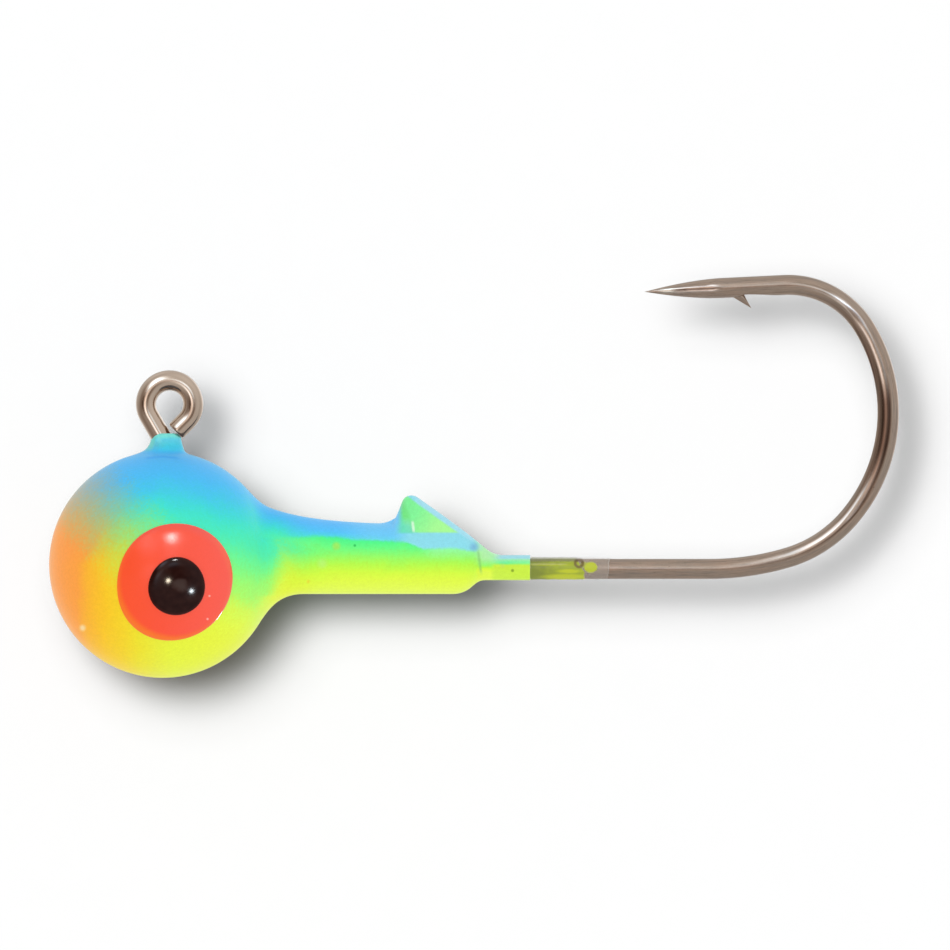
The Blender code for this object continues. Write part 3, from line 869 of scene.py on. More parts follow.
def add_tail(colour, x, z, mist, fine):
    """Behind the keeper the colour thins to chalky green, blue-grey above and yellow below."""
    tail = (x + 0.30 * mist).rise(13.9, 14.5)
    colour = colour.mix((184, 242, 176), tail * (z + 0.1 * mist).rise(-0.15, 0.35) * 0.9)
    top = tail * (z + 0.10 * fine).rise(0.19, 0.30) * (x - 0.4 * (z - 0.3)).rise(14.8, 15.3)
    colour = colour.mix((160, 220, 232), top)
    underside = x.rise(14.7, 15.0) * (z + 0.10 * fine).fall(-0.06, 0.08)
    return colour.mix((204, 242, 74), underside)


def add_boss(colour, x, y, z, mist, speck):
    """Blue, greener towards the rim, with painted shade in the crease at the foot."""
    colour = colour.mix((74, 196, 240), (z + 0.1 * mist).rise(4.95, 5.25) * 0.75)
    colour = colour.mix((100, 212, 232), (z + 0.10 * mist + 0.1 * speck).rise(5.30, 5.66))
    colour = colour.mix((124, 228, 218), (z + 0.12 * mist + 0.1 * speck).rise(5.58, 5.80))
    # the side towards -X is greener
    front = (0.30 * (z - 5.0) - (x + 0.42)).rise(0.0, 0.16) * (z + 0.2 * mist).rise(5.05, 5.4)
    colour = colour.mix((120, 214, 196), front * 0.7)
    # painted shade in the crease at the foot, on the side towards the camera
    boss_foot_shade = (z - 4.86 + 0.10 * x.abs() + 0.10 * speck).abs().fall(0.0, 0.09)
    boss_foot_shade = boss_foot_shade * x.abs().fall(0.6, 0.85) * (y * -1.0).rise(0.2, 0.6)
    return colour.mix((52, 160, 244), boss_foot_shade * 0.6)


def spray_paint():
    """Satin bands of sprayed colour over the ball, collar, keeper and boss."""
    paint = Finish("spray_paint_satin", roughness=0.42)
    place = paint.place()
    x, y, z = paint.parts(place)
    right, _, up = paint.parts(paint.normal())
    mist = paint.sway(place, scale=1.1, detail=3.0)  # slow drift of the spray
    speck = paint.sway(place, scale=7.0, detail=4.0, rough=0.7)  # droplets
    fine = paint.sway(place, scale=22.0, detail=2.0, rough=0.6, offset=3.1)

    # where the collar leaves the ball the green reaches lower and higher
    near_joint = (((x - 5.9) / 1.1).pow(2.0) * -1.0).exp()
    lag = near_joint * (0.24 - 0.34 * up.rise(0.05, 0.38))
    ball = ball_colour(paint, (right, up), lag, mist, speck, fine)
    collar = collar_colour(paint, x, z, up, lag, mist, speck, fine)
    collar = add_keeper(collar, paint, x, z, mist, fine)
    collar = add_tail(collar, x, z, mist, fine)
    colour = ball.mix(collar, (x + 0.5 * mist).rise(4.9, 7.2))
    colour = add_boss(colour, x, y, z, mist, speck)

    for at_x, at_z, radius, soft, strength, mark in PAINT_SPECKS_AND_PAINTED_LIGHT:
        near_side = (y * -1.0).rise(0.0, 0.3)
        colour = colour.mix(mark, spot(x, z, at_x, at_z, radius, soft) * near_side * strength)
    # painted shade: a dull upright line where the collar's rounded end turns away
    collar_end_shade = (((x - 14.20) - (0.60 - z) * 0.14).abs() + 0.05 * fine).fall(0.0, 0.11)
    collar_end_shade = collar_end_shade * z.rise(-0.55, -0.2) * z.fall(0.45, 0.75)
    colour = colour.mix((128, 190, 110), collar_end_shade * 0.5)
    # light and dark grain
    colour = colour.scale(1.0 + 0.11 * speck + 0.07 * fine)
    # painted sheen: paler where it is seen edge on
    layer = paint.new("ShaderNodeLayerWeight")
    layer.inputs["Blend"].default_value = 0.5
    painted_edge_sheen = Value(paint.tree, layer.outputs["Facing"]).pow(4.0) * 0.30
    paint.base(colour.mix((255, 255, 255), painted_edge_sheen))

    paint.specular(0.10)
    paint.feed((0.42 + 0.14 * speck).max(0.2), "Roughness")
    coarse_peel = paint.noise(place, scale=3.2, detail=2.0, offset=1.7)
    fine_peel = paint.noise(place, scale=14.0, detail=2.0, offset=5.3)
    paint.bump(coarse_peel * 0.7 + fine_peel * 0.3, distance_mm=0.035, strength=0.5)
    return paint.material


# ================================================================== other materials


def add_ground_point(colour, steel, wire, tip, across, side):
    """Painted reflections on the ground point: a narrow dark land along the spear's middle on both
    sides, between a bright line and a duller one.
    """
    land = tip.rise(0.95, 1.4) * tip.fall(3.0, 3.7) * side.abs().rise(0.03, 0.10)
    waver = steel.noise(wire, scale=6.0, detail=2.0, stretch=(0.4, 1.0, 1.0), offset=9.0)
    # painted reflections: the land's dark middle, and a bright and a dull line along its edges
    middle = (across.abs() + 0.02 * waver).fall(0.040, 0.070)
    spear_edge_reflections = (across.abs() - 0.115).abs().fall(0.010, 0.050)
    colour = colour.mix((58, 48, 42), land * middle * 0.95)
    colour = colour.mix((232, 224, 220), land * spear_edge_reflections * across.rise(-0.02, 0.02) * 0.6)
    colour = colour.mix((150, 136, 128), land * spear_edge_reflections * across.fall(-0.02, 0.02) * 0.75)
    # painted highlight: a bright patch just behind the point
    point_highlight = tip.rise(0.5, 0.9) * tip.fall(1.1, 1.6) * across.abs().fall(0.08, 0.16)
    return colour.mix((222, 220, 208), point_highlight * 0.7)


def hook_steel(wire_length):
    """Plated steel wire with a drawn grain along its length, a painted dark brown reflection along
    the bend and a painted highlight near the arm.
    """
    steel = Finish("hook_plated_steel", roughness=0.26, metallic=1.0)
    wire = steel.attribute("wire")
    along, across, side = steel.parts(wire)
    x, _, z = steel.parts(steel.place())
    streak = steel.sway(wire, scale=9.0, detail=4.0, stretch=(0.05, 1.0, 1.0), rough=0.65)
    hair = steel.sway(
        wire, scale=38.0, detail=3.0, stretch=(0.03, 1.0, 1.0), rough=0.7, offset=2.0
    )
    blotch = steel.sway(wire, scale=0.9, detail=3.0, stretch=(0.6, 1.6, 1.6), offset=4.0)
    pits = steel.noise(wire, scale=11.0, detail=3.0, offset=6.0)

    # bright at the line tie, duller from there on
    far = x.rise(0.9, 3.4)
    colour = steel.plain((203, 185, 168)).mix(steel.plain((170, 154, 140)), far)
    colour = add_ground_point(colour, steel, wire, wire_length - along, across, side)
    # brown blotches, grey streaks, light and dark hairlines, dark pits
    colour = colour.mix((176, 148, 130), (blotch * 2.4 + 0.3).clamp() * far * 0.55)
    colour = colour.mix((148, 138, 132), (streak * 4.0 + 0.1).clamp() * (0.15 + 0.5 * far))
    colour = colour.mix((190, 160, 146), (hair * 4.0).clamp() * 0.45)
    colour = colour.mix((112, 98, 88), (hair * -4.0).clamp() * (0.15 + 0.35 * far))
    colour = colour.mix((80, 62, 52), pits.rise(0.68, 0.78) * 0.45 * far)
    # painted reflection: a dark brown band along the middle of the bend
    bend_dark_reflection = (across - 0.03 + 0.03 * blotch).abs().fall(0.10, 0.25)
    bend_dark_reflection = bend_dark_reflection * (z + 0.8 * blotch).rise(3.4, 5.4) * (z + 0.8 * blotch).fall(7.1, 8.5)
    bend_dark_reflection = bend_dark_reflection * x.rise(28.0, 30.0)
    colour = colour.mix((84, 64, 54), bend_dark_reflection * 0.78)
    # painted highlight: a bright streak near where the bend meets the arm
    bend_highlight_streak = (along - 53.55).abs().fall(0.35, 1.35)
    bend_highlight_streak = bend_highlight_streak * (across + 0.065 + 0.02 * blotch).abs().fall(0.03, 0.13)
    steel.base(colour.mix((244, 236, 232), bend_highlight_streak * 0.85))
    rough = 0.12 + 0.06 * streak + 0.06 * blotch + 0.03 * far
    steel.feed(rough.max(0.06), "Roughness")
    steel.bump(streak * 0.5 + hair * 0.5, distance_mm=0.004, strength=0.5)
    return steel.material


def cast_lead():
    """Dull grey lead with darker bloom and paler grains."""
    lead = Finish("cast_lead_dull", roughness=0.6, metallic=1.0)
    place = lead.place()
    bloom = lead.noise(place, scale=2.0, detail=4.0)
    grain = lead.noise(place, scale=14.0, detail=3.0, offset=2.2)
    colour = lead.plain((122, 124, 128)).mix((88, 90, 96), bloom.rise(0.35, 0.65))
    lead.base(colour.mix((150, 152, 154), grain.rise(0.58, 0.72) * 0.4))
    lead.bump(grain, distance_mm=0.03, strength=0.5)
    return lead.material


# patches of overspray: x, z, radius along X, radius along Z, softness, strength
FILM_POOLS = (
    (18.28, -0.30, 0.50, 0.09, 0.8, None),
    (18.1, -0.55, 0.95, 0.12, 0.9, 0.9),
    (17.5, -0.02, 0.85, 0.05, 1.0, 0.5),
)
FILM_DROP = (
    (19.26, -0.12, 0.30, 0.24, 0.5, None),
    (18.98, -0.02, 0.22, 0.14, 0.8, 0.7),
)


def clear_film():
    """Thin clear coat on the shank: yellow overspray in its first part, nearly clear beyond."""
    film = Finish("clear_coat_film", roughness=0.2)
    place = film.place()
    x, _, z = film.parts(place)
    mist = film.sway(place, scale=2.2, detail=3.0)
    speck = film.sway(place, scale=9.0, detail=3.0, offset=2.0)
    drift = 0.25 * mist + 0.12 * speck

    def patches(table):
        """The strongest of a table's patches; strength None leaves one at full strength."""
        strongest = None
        for at_x, at_z, radius_x, radius_z, soft, strength in table:
            reach = ellipse(x, z, at_x, at_z, radius_x, radius_z).sqrt() + 2.2 * drift
            patch = reach.fall(1.0 - soft * 0.5, 1.0 + soft * 0.5)
            patch = patch if strength is None else patch * strength
            strongest = strongest.max(patch) if strongest else patch
        return strongest

    # olive near the paint, then brighter pools, then a last separate drop
    band = (x + 0.6 * (z + 0.3).max(0.0) + drift).fall(18.92, 19.02)
    tint = film.plain((142, 154, 62))
    tint = tint.mix((176, 190, 60), ((x - 16.9) * 0.9 + 2.0 * mist).clamp())
    pools = patches(FILM_POOLS)
    drop = patches(FILM_DROP)
    tint = tint.mix((200, 208, 44), pools.max(drop * (0.75 + 0.8 * mist)) * 0.85)
    # greyer along the top, with a pale line below it
    tint = tint.mix((160, 160, 130), (z + 0.3 * drift).rise(0.08, 0.22) * 0.75)
    pale_line = ((z - 0.02).abs() + 0.1 * speck).fall(0.0, 0.07) * x.fall(18.0, 18.3)
    tint = tint.mix((206, 206, 132), pale_line * 0.6)
    painted = band.max(drop)
    tint = film.plain((212, 203, 192)).mix(tint, painted)
    top_thinning = 1.0 - 0.45 * (z + 0.3 * drift).rise(0.06, 0.22)
    cover = painted * (0.74 + 0.18 * pools.max(drop)) * top_thinning + (1.0 - painted) * 0.13
    # brown ring near the overspray's end
    ring = (distance(x, z, 18.74, 0.06) + 0.3 * drift - 0.17).abs().fall(0.02, 0.11)
    tint = tint.mix((104, 84, 44), ring * 0.8)
    cover = (cover + ring * 0.2).clamp()
    # pale lip at the film's far edge
    lip = (x + 0.1 * drift).rise(20.02, 20.14)
    film.base(tint.mix((226, 220, 214), lip))
    film.feed((cover + lip * 0.25).clamp(), "Alpha")
    ripples = film.noise(place, scale=6.0, detail=2.0, offset=3.0)
    film.bump(ripples, distance_mm=0.01, strength=0.5)
    return film.material


IRIS_X, IRIS_Z, IRIS_R = 0.576, -0.760, 2.6
# red, a little less saturated from left to right: millimetres from the middle, colour
IRIS_REDS = ((-2.7, (253, 84, 42)), (-0.6, (253, 84, 58)), (2.7, (252, 96, 84)))
IRIS_MARKS = ((2.16, -1.395, 0.075), (2.07, -2.43, 0.08), (0.045, -1.935, 0.07))  # x, z, radius


def iris_paint(side):
    """Red enamel with an orange rim at the lower left and small pale marks."""
    iris = Finish(f"iris_enamel_{side}", roughness=0.2)
    place = iris.place()
    x, _, z = iris.parts(place)
    mist = iris.sway(place, scale=2.4, detail=3.0)
    fine = iris.sway(place, scale=12.0, detail=3.0, offset=2.0)
    off_x, off_z = x - IRIS_X, z - IRIS_Z
    colour = iris.ramp(off_x + 0.5 * mist, IRIS_REDS)
    out = (off_x * off_x + off_z * off_z).sqrt() + 0.06 * mist
    lower_left = (off_x * -0.62 + off_z * -0.78) / IRIS_R
    rim = out.rise(2.28, 2.60) * (lower_left + 0.25).clamp()
    colour = colour.mix((252, 118, 40), rim * 0.95)
    top = out.rise(2.2, 2.62) * (off_z / IRIS_R).rise(0.35, 0.9)
    colour = colour.mix((236, 96, 92), top * 0.6)
    right = out.rise(2.35, 2.62) * (off_x / IRIS_R).rise(0.4, 0.9)
    colour = colour.mix((250, 114, 84), right * 0.6)
    for at_x, at_z, radius in IRIS_MARKS:
        colour = colour.mix((255, 196, 186), spot(x, z, at_x, at_z, radius, soft=0.8) * 0.8)
    iris.base(colour.scale(1.0 + 0.03 * fine))
    iris.specular(0.25)
    iris.feed(0.21 + 0.08 * mist, "Roughness")
    waves = iris.noise(place, scale=1.6, detail=2.0, offset=4.0)
    iris.bump(waves, distance_mm=0.02, strength=0.3)
    return iris.material


PUPIL_X, PUPIL_DOWN = 0.684, 0.954


def pupil_paint(side):
    """Near-black enamel with a painted grey reflection in its middle and a red-brown rim."""
    pupil = Finish(f"pupil_enamel_{side}", roughness=0.16)
    place = pupil.place()
    x, _, z = pupil.parts(place)
    mist = pupil.sway(place, scale=2.5, detail=3.0)
    off_x, off_z = x - PUPIL_X, z + PUPIL_DOWN
    out = (off_x * off_x + off_z * off_z).sqrt()
    colour = pupil.plain((34, 12, 10)).mix((50, 28, 24), (mist * 2.0 + 0.4).clamp())
    # the painted reflection's middle is written as z + 0.92
    pupil_reflection_reach = ((x - 0.86) / 0.42).pow(2.0) + ((z + 0.92) / 0.36).pow(2.0) + 1.6 * mist
    colour = colour.mix((86, 78, 74), pupil_reflection_reach.fall(0.1, 1.0) * 0.55)
    pupil.base(colour.mix((74, 26, 18), out.rise(1.16, 1.30) * 0.6))
    pupil.specular(0.16)
    pupil.feed(0.11 + 0.05 * mist, "Roughness")
    return pupil.material


# ================================================================== pieces


def give(obj, material, node):
    """Gives a piece its material, hangs it on the root body and hides the CAD node it stands in for.
    """
    obj.data.materials.clear()
    obj.data.materials.append(material)
    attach(obj, "root")
    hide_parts(node)


def mark_wire(obj, stations):
    """Stores where each point lies along, across and beside the wire; returns the length."""
    points = read_points(obj.data)
    path = np.array([(s.x, s.z) for s in stations])
    headings = np.array([s.heading for s in stations])
    along = np.concatenate([[0.0], np.cumsum(np.hypot(*np.diff(path, axis=0).T))])
    nearest = np.empty(len(points), int)
    block_size = 4000  # points measured at a time, to spare memory
    for i in range(0, len(points), block_size):
        block = points[i : i + block_size]
        gap_x = block[:, None, 0] - path[None, :, 0]
        gap_z = block[:, None, 2] - path[None, :, 1]
        nearest[i : i + block_size] = (gap_x**2 + gap_z**2).argmin(1)
    cos, sin = np.cos(headings[nearest]), np.sin(headings[nearest])
    off_x, off_z = points[:, 0] - path[nearest, 0], points[:, 2] - path[nearest, 1]
    forward = along[nearest] + off_x * cos + off_z * sin
    wire = np.stack([forward, -off_x * sin + off_z * cos, points[:, 1]], axis=1)
    attribute = obj.data.attributes.new("wire", "FLOAT_VECTOR", "POINT")
    attribute.data.foreach_set("vector", wire.astype(np.float32).ravel())
    return float(along[-1])


def build_hook(stations):
    rings = wire_rings(stations)
    start = stations[0]
    middle = np.array([start.x, 0.0, start.z])
    worn = []
    for back, size in WORN_END:
        end_x = start.x + back * math.cos(start.heading)
        end_z = start.z + back * math.sin(start.heading)
        worn.append((rings[0] - middle) * size + np.array([end_x, 0.0, end_z]))
    hook = new_object("hook_wire", *loft(worn + rings[1:]))
    barb = new_object("barb", *barb_body(stations[-1]))
    carve(hook, barb, "UNION")
    length = mark_wire(hook, stations)
    write_points(hook.data, in_frame(read_points(hook.data)))
    shade(hook, sharp=38)
    give(hook, hook_steel(length), "hook")


SKIN_VOXEL, QUICK_SKIN_VOXEL, SKIN_END_X = 0.085, 0.12, 17.2
ROOM_VOXEL, ROOM_END_X = 0.14, 14.7
CUT_R, CUT_SIDES, CUT_END_X = 1.5, 40, 19.0


def build_paint_skin(stations):
    """The head's outside, less the lead's room and the wire's channel, ending at the sleeve."""
    voxel = SKIN_VOXEL
    skin = fine_skin("paint_skin", 0.0, voxel, SKIN_END_X)
    room = fine_skin("lead_room", PAINT_THICKNESS, ROOM_VOXEL, ROOM_END_X)
    channel_end = next(i for i, s in enumerate(stations) if s.x > CUT_END_X and s.z < 0)
    channel_rings = wire_rings(stations, grow=WIRE_GAP)[:channel_end]
    channel = new_object("channel", *loft(channel_rings))
    turn = np.linspace(0, 2 * math.pi, CUT_SIDES, endpoint=False)
    cut_y, cut_z = CUT_R * np.cos(turn), SLEEVE_Z + CUT_R * np.sin(turn)
    cut_xs = (SLEEVE_END_X, CUT_END_X)
    cut_rings = [np.stack([np.full(CUT_SIDES, x), cut_y, cut_z], axis=1) for x in cut_xs]
    end_cut = new_object("end_cut", *loft(cut_rings))
    for other in (room, end_cut, channel):
        carve(skin, other, "DIFFERENCE")
    write_points(skin.data, in_frame(read_points(skin.data)))
    shade(skin, sharp=35)
    give(skin, spray_paint(), "paint_coat")
    skin.visible_glossy = False


FILM_FROM_X, FILM_TO_X = SLEEVE_END_X + 0.02, 20.20
# share of the film's length, outer radius, height of its middle
FILM_PROFILE = (
    (0.0, 0.506, -0.175),
    (0.80, 0.500, -0.180),
    (0.90, 0.490, -0.190),
    (0.97, 0.482, -0.196),
    (1.0, 0.474, -0.199),
)
FILM_ROWS, FILM_SIDES = 80, 64
FILM_GAP = 0.008
FILM_WAVE_FROM, FILM_PULL_BACK = 0.86, 0.08  # the far edge is wavy and drawn back
FILM_RIPPLE, FILM_RIPPLE_END = 0.004, 0.9


def build_clear_film():
    """Clear coat along the shank: thicker on top, its far edge slightly wavy."""
    turn = 2 * math.pi * np.arange(FILM_SIDES) / FILM_SIDES
    places, radii, middles = zip(*FILM_PROFILE)
    edge_wave = 0.07 * np.sin(turn + 0.9) + 0.025 * np.sin(turn * 3 + 0.4)
    inner_r = WIRE_R + FILM_GAP
    outer, inner = [], []
    for share in np.linspace(0, 1, FILM_ROWS):
        middle = np.interp(share, places, middles)
        edge = smoothstep(share, FILM_WAVE_FROM, 1.0)
        wave = edge_wave * edge - FILM_PULL_BACK * edge
        xs = FILM_FROM_X + (FILM_TO_X - FILM_FROM_X) * share + wave
        ripple = FILM_RIPPLE * np.sin(share * 37 + turn * 2) * (share < FILM_RIPPLE_END)
        radius = np.interp(share, places, radii) + ripple
        outer.append(np.stack([xs, radius * np.sin(turn), middle + radius * np.cos(turn)], axis=1))
        inner_z = SHANK_Z + inner_r * np.cos(turn)
        inner.append(np.stack([xs, inner_r * np.sin(turn), inner_z], axis=1))
    rows = outer + inner[::-1]
    faces = loft_faces(len(rows), FILM_SIDES)
    last = (len(rows) - 1) * FILM_SIDES
    for j in range(FILM_SIDES):  # the inside joins the outside at the near edge
        after = (j + 1) % FILM_SIDES
        faces.append((last + j, last + after, after, j))
    points = in_frame(np.concatenate(rows))
    film = new_object("clear_film", points, [face[::-1] for face in faces])
    shade(film, sharp=50)
    give(film, clear_film(), "clear_coat_runout")


# Each eye is two drops of enamel. A drop's axis is for the left side; chord is its mean radius,
# and its waves are (cycles, cosine, sine) added to that. Rim and dome are heights above its base.
EYE_GAP, EYE_LAYER_GAP, IRIS_DOME = 0.012, 0.006, 0.135
IRIS = dict(
    axis=(0.1322, -0.9757, -0.1744),
    base_r=BALL_R + EYE_GAP,
    chord=2.64,
    waves=((2, -0.0288, 0.05355), (3, 0.02025, 0.0072), (4, -0.01305, 0.0)),
    rim=0.02,
    dome=IRIS_DOME,
    shoulder=0.16,
)
PUPIL = dict(
    axis=(0.1360, -0.9724, -0.1900),
    base_r=BALL_R + EYE_GAP + IRIS_DOME + EYE_LAYER_GAP,
    chord=1.30,
    waves=((2, -0.0234, 0.0027), (3, 0.0, -0.01575)),
    rim=0.015,
    dome=0.115,
    shoulder=0.30,
)
DROP_ROWS, DROP_SIDES = 26, 160
DROP_CROWDING = 0.85  # below 1 crowds the rows towards the edge
DROP_SHOULDER_SHARE, DROP_DOME_SHARE = 0.72, 0.28  # of the rise from rim to dome


def enamel_drop(mirror, axis, base_r, chord, waves, rim, dome, shoulder):
    """A flattened drop on the ball: a wavy outline, a rounded shoulder and a nearly level top."""
    axis = Vector(axis).normalized()
    if mirror:
        axis.y = -axis.y
    across = Vector((0, 0, 1)).cross(axis).normalized()
    if across.x < 0:
        across = -across
    up = axis.cross(across)
    if up.z < 0:
        up = -up
    axis, across, up = np.array(axis), np.array(across), np.array(up)
    turn = 2 * math.pi * np.arange(DROP_SIDES) / DROP_SIDES
    outline = np.full(DROP_SIDES, chord)
    for cycles, cosine, sine in waves:
        outline = outline + cosine * np.cos(cycles * turn) + sine * np.sin(cycles * turn)
    limit = np.arcsin(outline / base_r)
    outwards = np.cos(turn)[:, None] * across + np.sin(turn)[:, None] * up
    lower, upper = [], []
    for i in range(1, DROP_ROWS + 1):
        share = (i / DROP_ROWS) ** DROP_CROWDING
        angle = limit * share
        ring = np.cos(angle)[:, None] * axis + np.sin(angle)[:, None] * outwards
        edge = np.clip((1 - share) / shoulder, 0, 1)
        rounding = DROP_SHOULDER_SHARE * math.sqrt(1 - (1 - edge) ** 2)
        lift = rim + (dome - rim) * (rounding + DROP_DOME_SHARE * (1 - share**2))
        lower.append(ring * base_r)
        upper.append(ring * (base_r + lift))
    return loft(lower + upper[::-1], start=axis * base_r, end=axis * (base_r + dome))


def build_eyes():
    pieces = []
    for side, mirror in (("left", False), ("right", True)):
        for name, drop, paint in (("iris", IRIS, iris_paint), ("pupil", PUPIL, pupil_paint)):
            points, faces = enamel_drop(mirror, **drop)
            piece = new_object(f"{name}_{side}", in_frame(points), faces)
            shade(piece, sharp=50)
            give(piece, paint(side), f"eye_{name}_{side}")
            pieces.append(piece)
    return pieces


def finish_lead():
    """The CAD casting, which stays inside the paint."""
    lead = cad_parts["lead_head"]
    lead.data.materials.clear()
    lead.data.materials.append(cast_lead())


wire_stations = wire_path()
build_hook(wire_stations)
build_paint_skin(wire_stations)
build_clear_film()
eye_pieces = build_eyes()
finish_lead()

# ================================================================== floor

FLOOR_Y, FLOOR_HALF, FLOOR_POINTS = 0.0060, 0.5, 24  # metres, points per side
FLOOR_TONE, FLOOR_GRAIN = 0.10, 0.0005


def floor_paper():
    """Even grey paper that fades out where it is seen from behind or almost edge on."""
    paper = bpy.data.materials.new("floor_paper")
    paper.use_nodes = True
    tree = paper.node_tree
    tree.nodes.clear()
    out = tree.nodes.new("ShaderNodeOutputMaterial")
    mix = tree.nodes.new("ShaderNodeMixShader")
    diffuse = tree.nodes.new("ShaderNodeBsdfDiffuse")
    clear = tree.nodes.new("ShaderNodeBsdfTransparent")
    geometry = tree.nodes.new("ShaderNodeNewGeometry")
    grain = tree.nodes.new("ShaderNodeTexNoise")
    grain.inputs["Scale"].default_value = 900.0
    tone = tree.nodes.new("ShaderNodeMapRange")
    tone.inputs["To Min"].default_value = FLOOR_TONE - FLOOR_GRAIN
    tone.inputs["To Max"].default_value = FLOOR_TONE + FLOOR_GRAIN
    layer = tree.nodes.new("ShaderNodeLayerWeight")
    layer.inputs["Blend"].default_value = 0.5
    edge_on = Value(tree, layer.outputs["Facing"]).rise(0.80, 0.93)
    gone = tree.nodes.new("ShaderNodeMath")
    gone.operation = "MAXIMUM"
    for source, target in (
        (geometry.outputs["Position"], grain.inputs["Vector"]),
        (grain.outputs["Fac"], tone.inputs["Value"]),
        (tone.outputs["Result"], diffuse.inputs["Color"]),
        (geometry.outputs["Backfacing"], gone.inputs[0]),
        (edge_on.socket, gone.inputs[1]),
        (gone.outputs[0], mix.inputs[0]),
        (diffuse.outputs[0], mix.inputs[1]),
        (clear.outputs[0], mix.inputs[2]),
        (mix.outputs[0], out.inputs[0]),
    ):
        tree.links.new(source, target)
    return paper


def new_collection(name, objects):
    collection = bpy.data.collections.new(name)
    scene.collection.children.link(collection)
    for obj in objects:
        collection.objects.link(obj)
    return collection


def build_floor():
    """An upright sheet behind the jig, facing the camera; returns its collection."""
    count = FLOOR_POINTS
    grid = np.linspace(-FLOOR_HALF, FLOOR_HALF, count)
    xs, zs = np.meshgrid(grid, grid)
    points = np.stack([xs.ravel(), np.full(count * count, FLOOR_Y), zs.ravel()], axis=1)
    faces = []
    for i in range(count - 1):
        for j in range(count - 1):
            low, high = i * count + j, (i + 1) * count + j
            faces.append((low, low + 1, high + 1, high))
    mesh = bpy.data.meshes.new("floor")
    mesh.from_pydata(points.tolist(), [], faces)
    mesh.update()
    floor = bpy.data.objects.new("floor", mesh)
    stage = new_collection("stage", [floor])
    floor.visible_diffuse = False
    floor.visible_glossy = False
    floor.visible_transmission = False
    floor.visible_shadow = False
    mesh.materials.append(floor_paper())
    return stage


# ================================================================== lights

# discs one inside the other, which throw a soft shadow down to the right: name, degrees, share
FLOOR_KEYS = (("small", 13, 0.16), ("middle", 20, 0.40), ("large", 36, 0.44))
FLOOR_KEY_TRAVEL = (1.04, 6.0, -0.96)
FLOOR_LEVEL = 1.0  # brightness wanted on the paper, of which the world gives its tone
# lamps only the eyes mirror: name, degrees off the Y axis, azimuth, degrees wide, energy, colour
EYE_LAMPS = (
    ("eye_window", 31, 72, 8, 1.15, (1.0, 1.0, 1.0)),
    ("eye_warm", 15, -72, 4.0, 0.55, (1.0, 0.86, 0.66)),
    ("eye_cool", 41, -40, 4.0, 0.50, (0.85, 0.95, 1.0)),
)


def direction(polar, azimuth, side=-1):
    """Polar degrees off the Y axis on one side, azimuth degrees from +X towards +Z."""
    tilt, turn = math.radians(polar), math.radians(azimuth)
    flat = math.sin(tilt)
    return (flat * math.cos(turn), side * math.cos(tilt), flat * math.sin(turn))


def add_sun(name, travel, degrees, energy, receivers):
    data = bpy.data.lights.new(name, "SUN")
    data.energy = energy
    data.angle = math.radians(degrees)
    lamp = bpy.data.objects.new(name, data)
    scene.collection.objects.link(lamp)
    lamp.rotation_mode = "QUATERNION"
    lamp.rotation_quaternion = travel.to_track_quat("-Z", "Y")
    lamp.light_linking.receiver_collection = receivers
    return lamp


def light_floor(stage):
    travel = Vector(FLOOR_KEY_TRAVEL).normalized()
    for name, degrees, share in FLOOR_KEYS:
        energy = math.pi * (FLOOR_LEVEL / FLOOR_TONE - 1.0) * share / travel.y
        add_sun(f"floor_key_{name}", travel, degrees, energy, stage)


def light_eyes():
    eyes = new_collection("eyes", eye_pieces)
    for name, polar, azimuth, degrees, energy, colour in EYE_LAMPS:
        for side in (-1, 1):
            travel = -Vector(direction(polar, azimuth, side))
            lamp = add_sun(f"{name}_{side}", travel, degrees, energy, eyes)
            lamp.data.color = colour
            lamp.visible_diffuse = False


light_floor(build_floor())
light_eyes()

# ================================================================== surroundings

# polar degrees, azimuth degrees, width in degrees, strength
WORLD_WINDOWS = (
    (27, 125, 9, 6.5),
    (44, 122, 12, 5.0),
    (13, 44, 8, 4.0),
    (16, 212, 10, 1.8),
    (68, 51, 60, 0.45),
    (113, 116, 22, 0.4),
    (140, 20, 22, 1.6),
    (150, 200, 22, 0.8),
)
WORLD_LAMP = (13, 182, 7, 5.5)  # beside the camera
WORLD_SHADES = (
    (36, 178, 16, 0.84),
    (60, 180, 18, 0.40),
    (11, 352, 11, 0.70),
    (20, 330, 12, 0.40),
    (80, 209, 33, 0.45),
    (14, 169, 8, 0.55),
    (65, 154, 17, 0.38),
)
WORLD_LEVEL = 0.60
WALL_COLOUR, SHADE_COLOUR, WINDOW_COLOUR = (1.0, 0.985, 0.965), (1.0, 0.66, 0.48), (0.84, 1.0, 1.16)


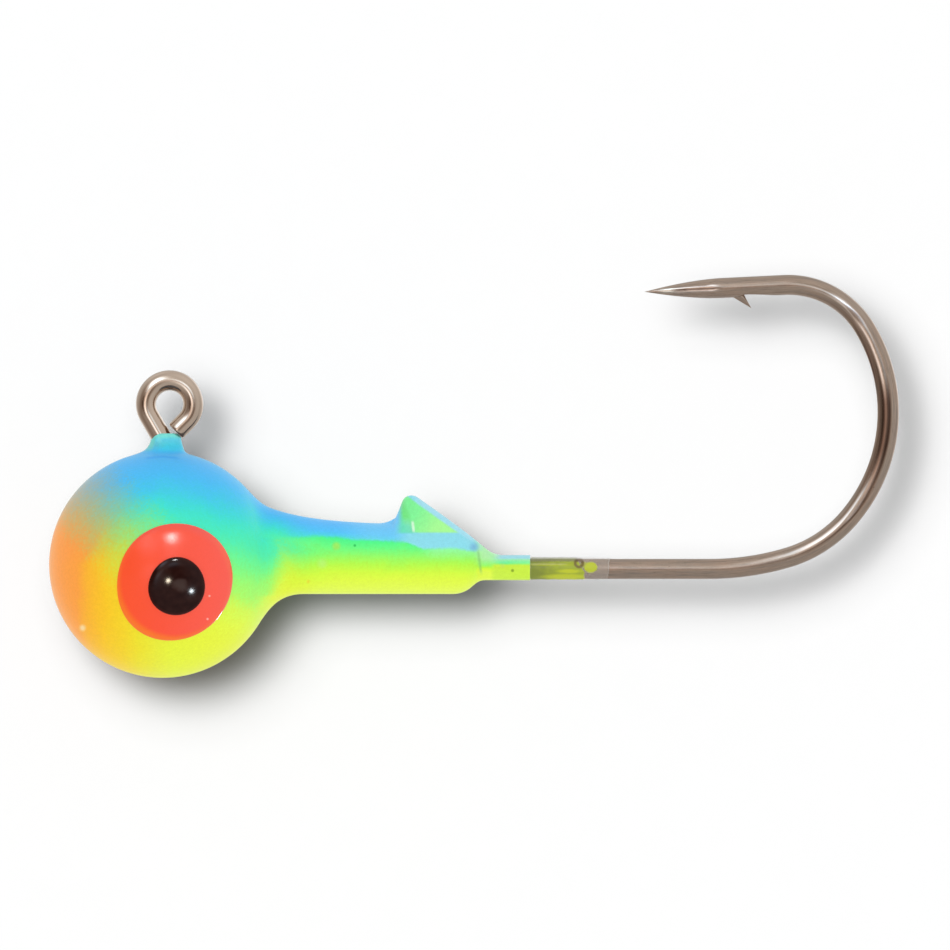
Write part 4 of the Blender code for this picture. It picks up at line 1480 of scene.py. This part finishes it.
def build_world():
    """Even white light for the paint, and a studio for what mirrors it."""
    world = bpy.data.worlds.new("studio")
    scene.world = world
    world.use_nodes = True
    tree = world.node_tree
    tree.nodes.clear()
    out = tree.nodes.new("ShaderNodeOutputWorld")
    background = tree.nodes.new("ShaderNodeBackground")
    tree.links.new(background.outputs[0], out.inputs[0])
    coordinate = tree.nodes.new("ShaderNodeTexCoord")

    def lobe(polar, azimuth, width, strength):
        """Strength towards that direction, fading over about width degrees."""
        node = tree.nodes.new("ShaderNodeVectorMath")
        node.operation = "DOT_PRODUCT"
        tree.links.new(coordinate.outputs["Generated"], node.inputs[0])
        node.inputs[1].default_value = direction(polar, azimuth)
        tightness = 1 / (1 - math.cos(math.radians(width)))
        return ((Value(tree, node.outputs["Value"]) - 1.0) * tightness).exp() * strength

    windows = [lobe(*row) for row in WORLD_WINDOWS]
    bright = sum(windows[1:], windows[0])
    glow = lobe(*WORLD_LAMP)
    let_through = [1.0 - lobe(*row) for row in WORLD_SHADES]
    dark = 1.0 - math.prod(let_through[1:], start=let_through[0])
    level = WORLD_LEVEL * (1.0 + bright + glow) * (1.0 - dark)

    # the shades are warmer than the walls, and the windows a cooler white
    tint = mix_node(tree, dark.clamp().socket, WALL_COLOUR, SHADE_COLOUR)
    tint = mix_node(tree, ((bright - 0.5) * 0.5).clamp().socket, tint, WINDOW_COLOUR)
    mirrored = scale_node(tree, tint, level)
    is_glossy = tree.nodes.new("ShaderNodeLightPath").outputs["Is Glossy Ray"]
    seen = mix_node(tree, is_glossy, (1.0, 1.0, 1.0), mirrored)
    tree.links.new(seen, background.inputs["Color"])
    background.inputs["Strength"].default_value = 1.0
    world.cycles.sampling_method = "NONE"


build_world()
scene.view_settings.view_transform = "Standard"
scene.view_settings.look = "None"

# ================================================================== camera

VIEW_WIDTH = 42.75
LENS, SENSOR = 1000.0, 36.0
VIEW_OFF_X, VIEW_OFF_Z = 0.0451, 0.0607  # from the middle of the CAD pieces


def add_camera():
    """Looks squarely at the jig's left side through a very long lens."""
    data = bpy.data.cameras.new("camera")
    data.type = "PERSP"
    data.sensor_width = SENSOR
    data.lens = LENS
    data.clip_start = 0.05
    data.clip_end = 10.0
    camera = bpy.data.objects.new("camera", data)
    scene.collection.objects.link(camera)
    camera.location = (
        (cad_lo.x + cad_hi.x) / 2 + VIEW_OFF_X * MM,
        -VIEW_WIDTH * MM * LENS / SENSOR,
        (cad_lo.z + cad_hi.z) / 2 + VIEW_OFF_Z * MM,
    )
    camera.rotation_euler = (math.radians(90), 0, 0)
    scene.camera = camera


add_camera()
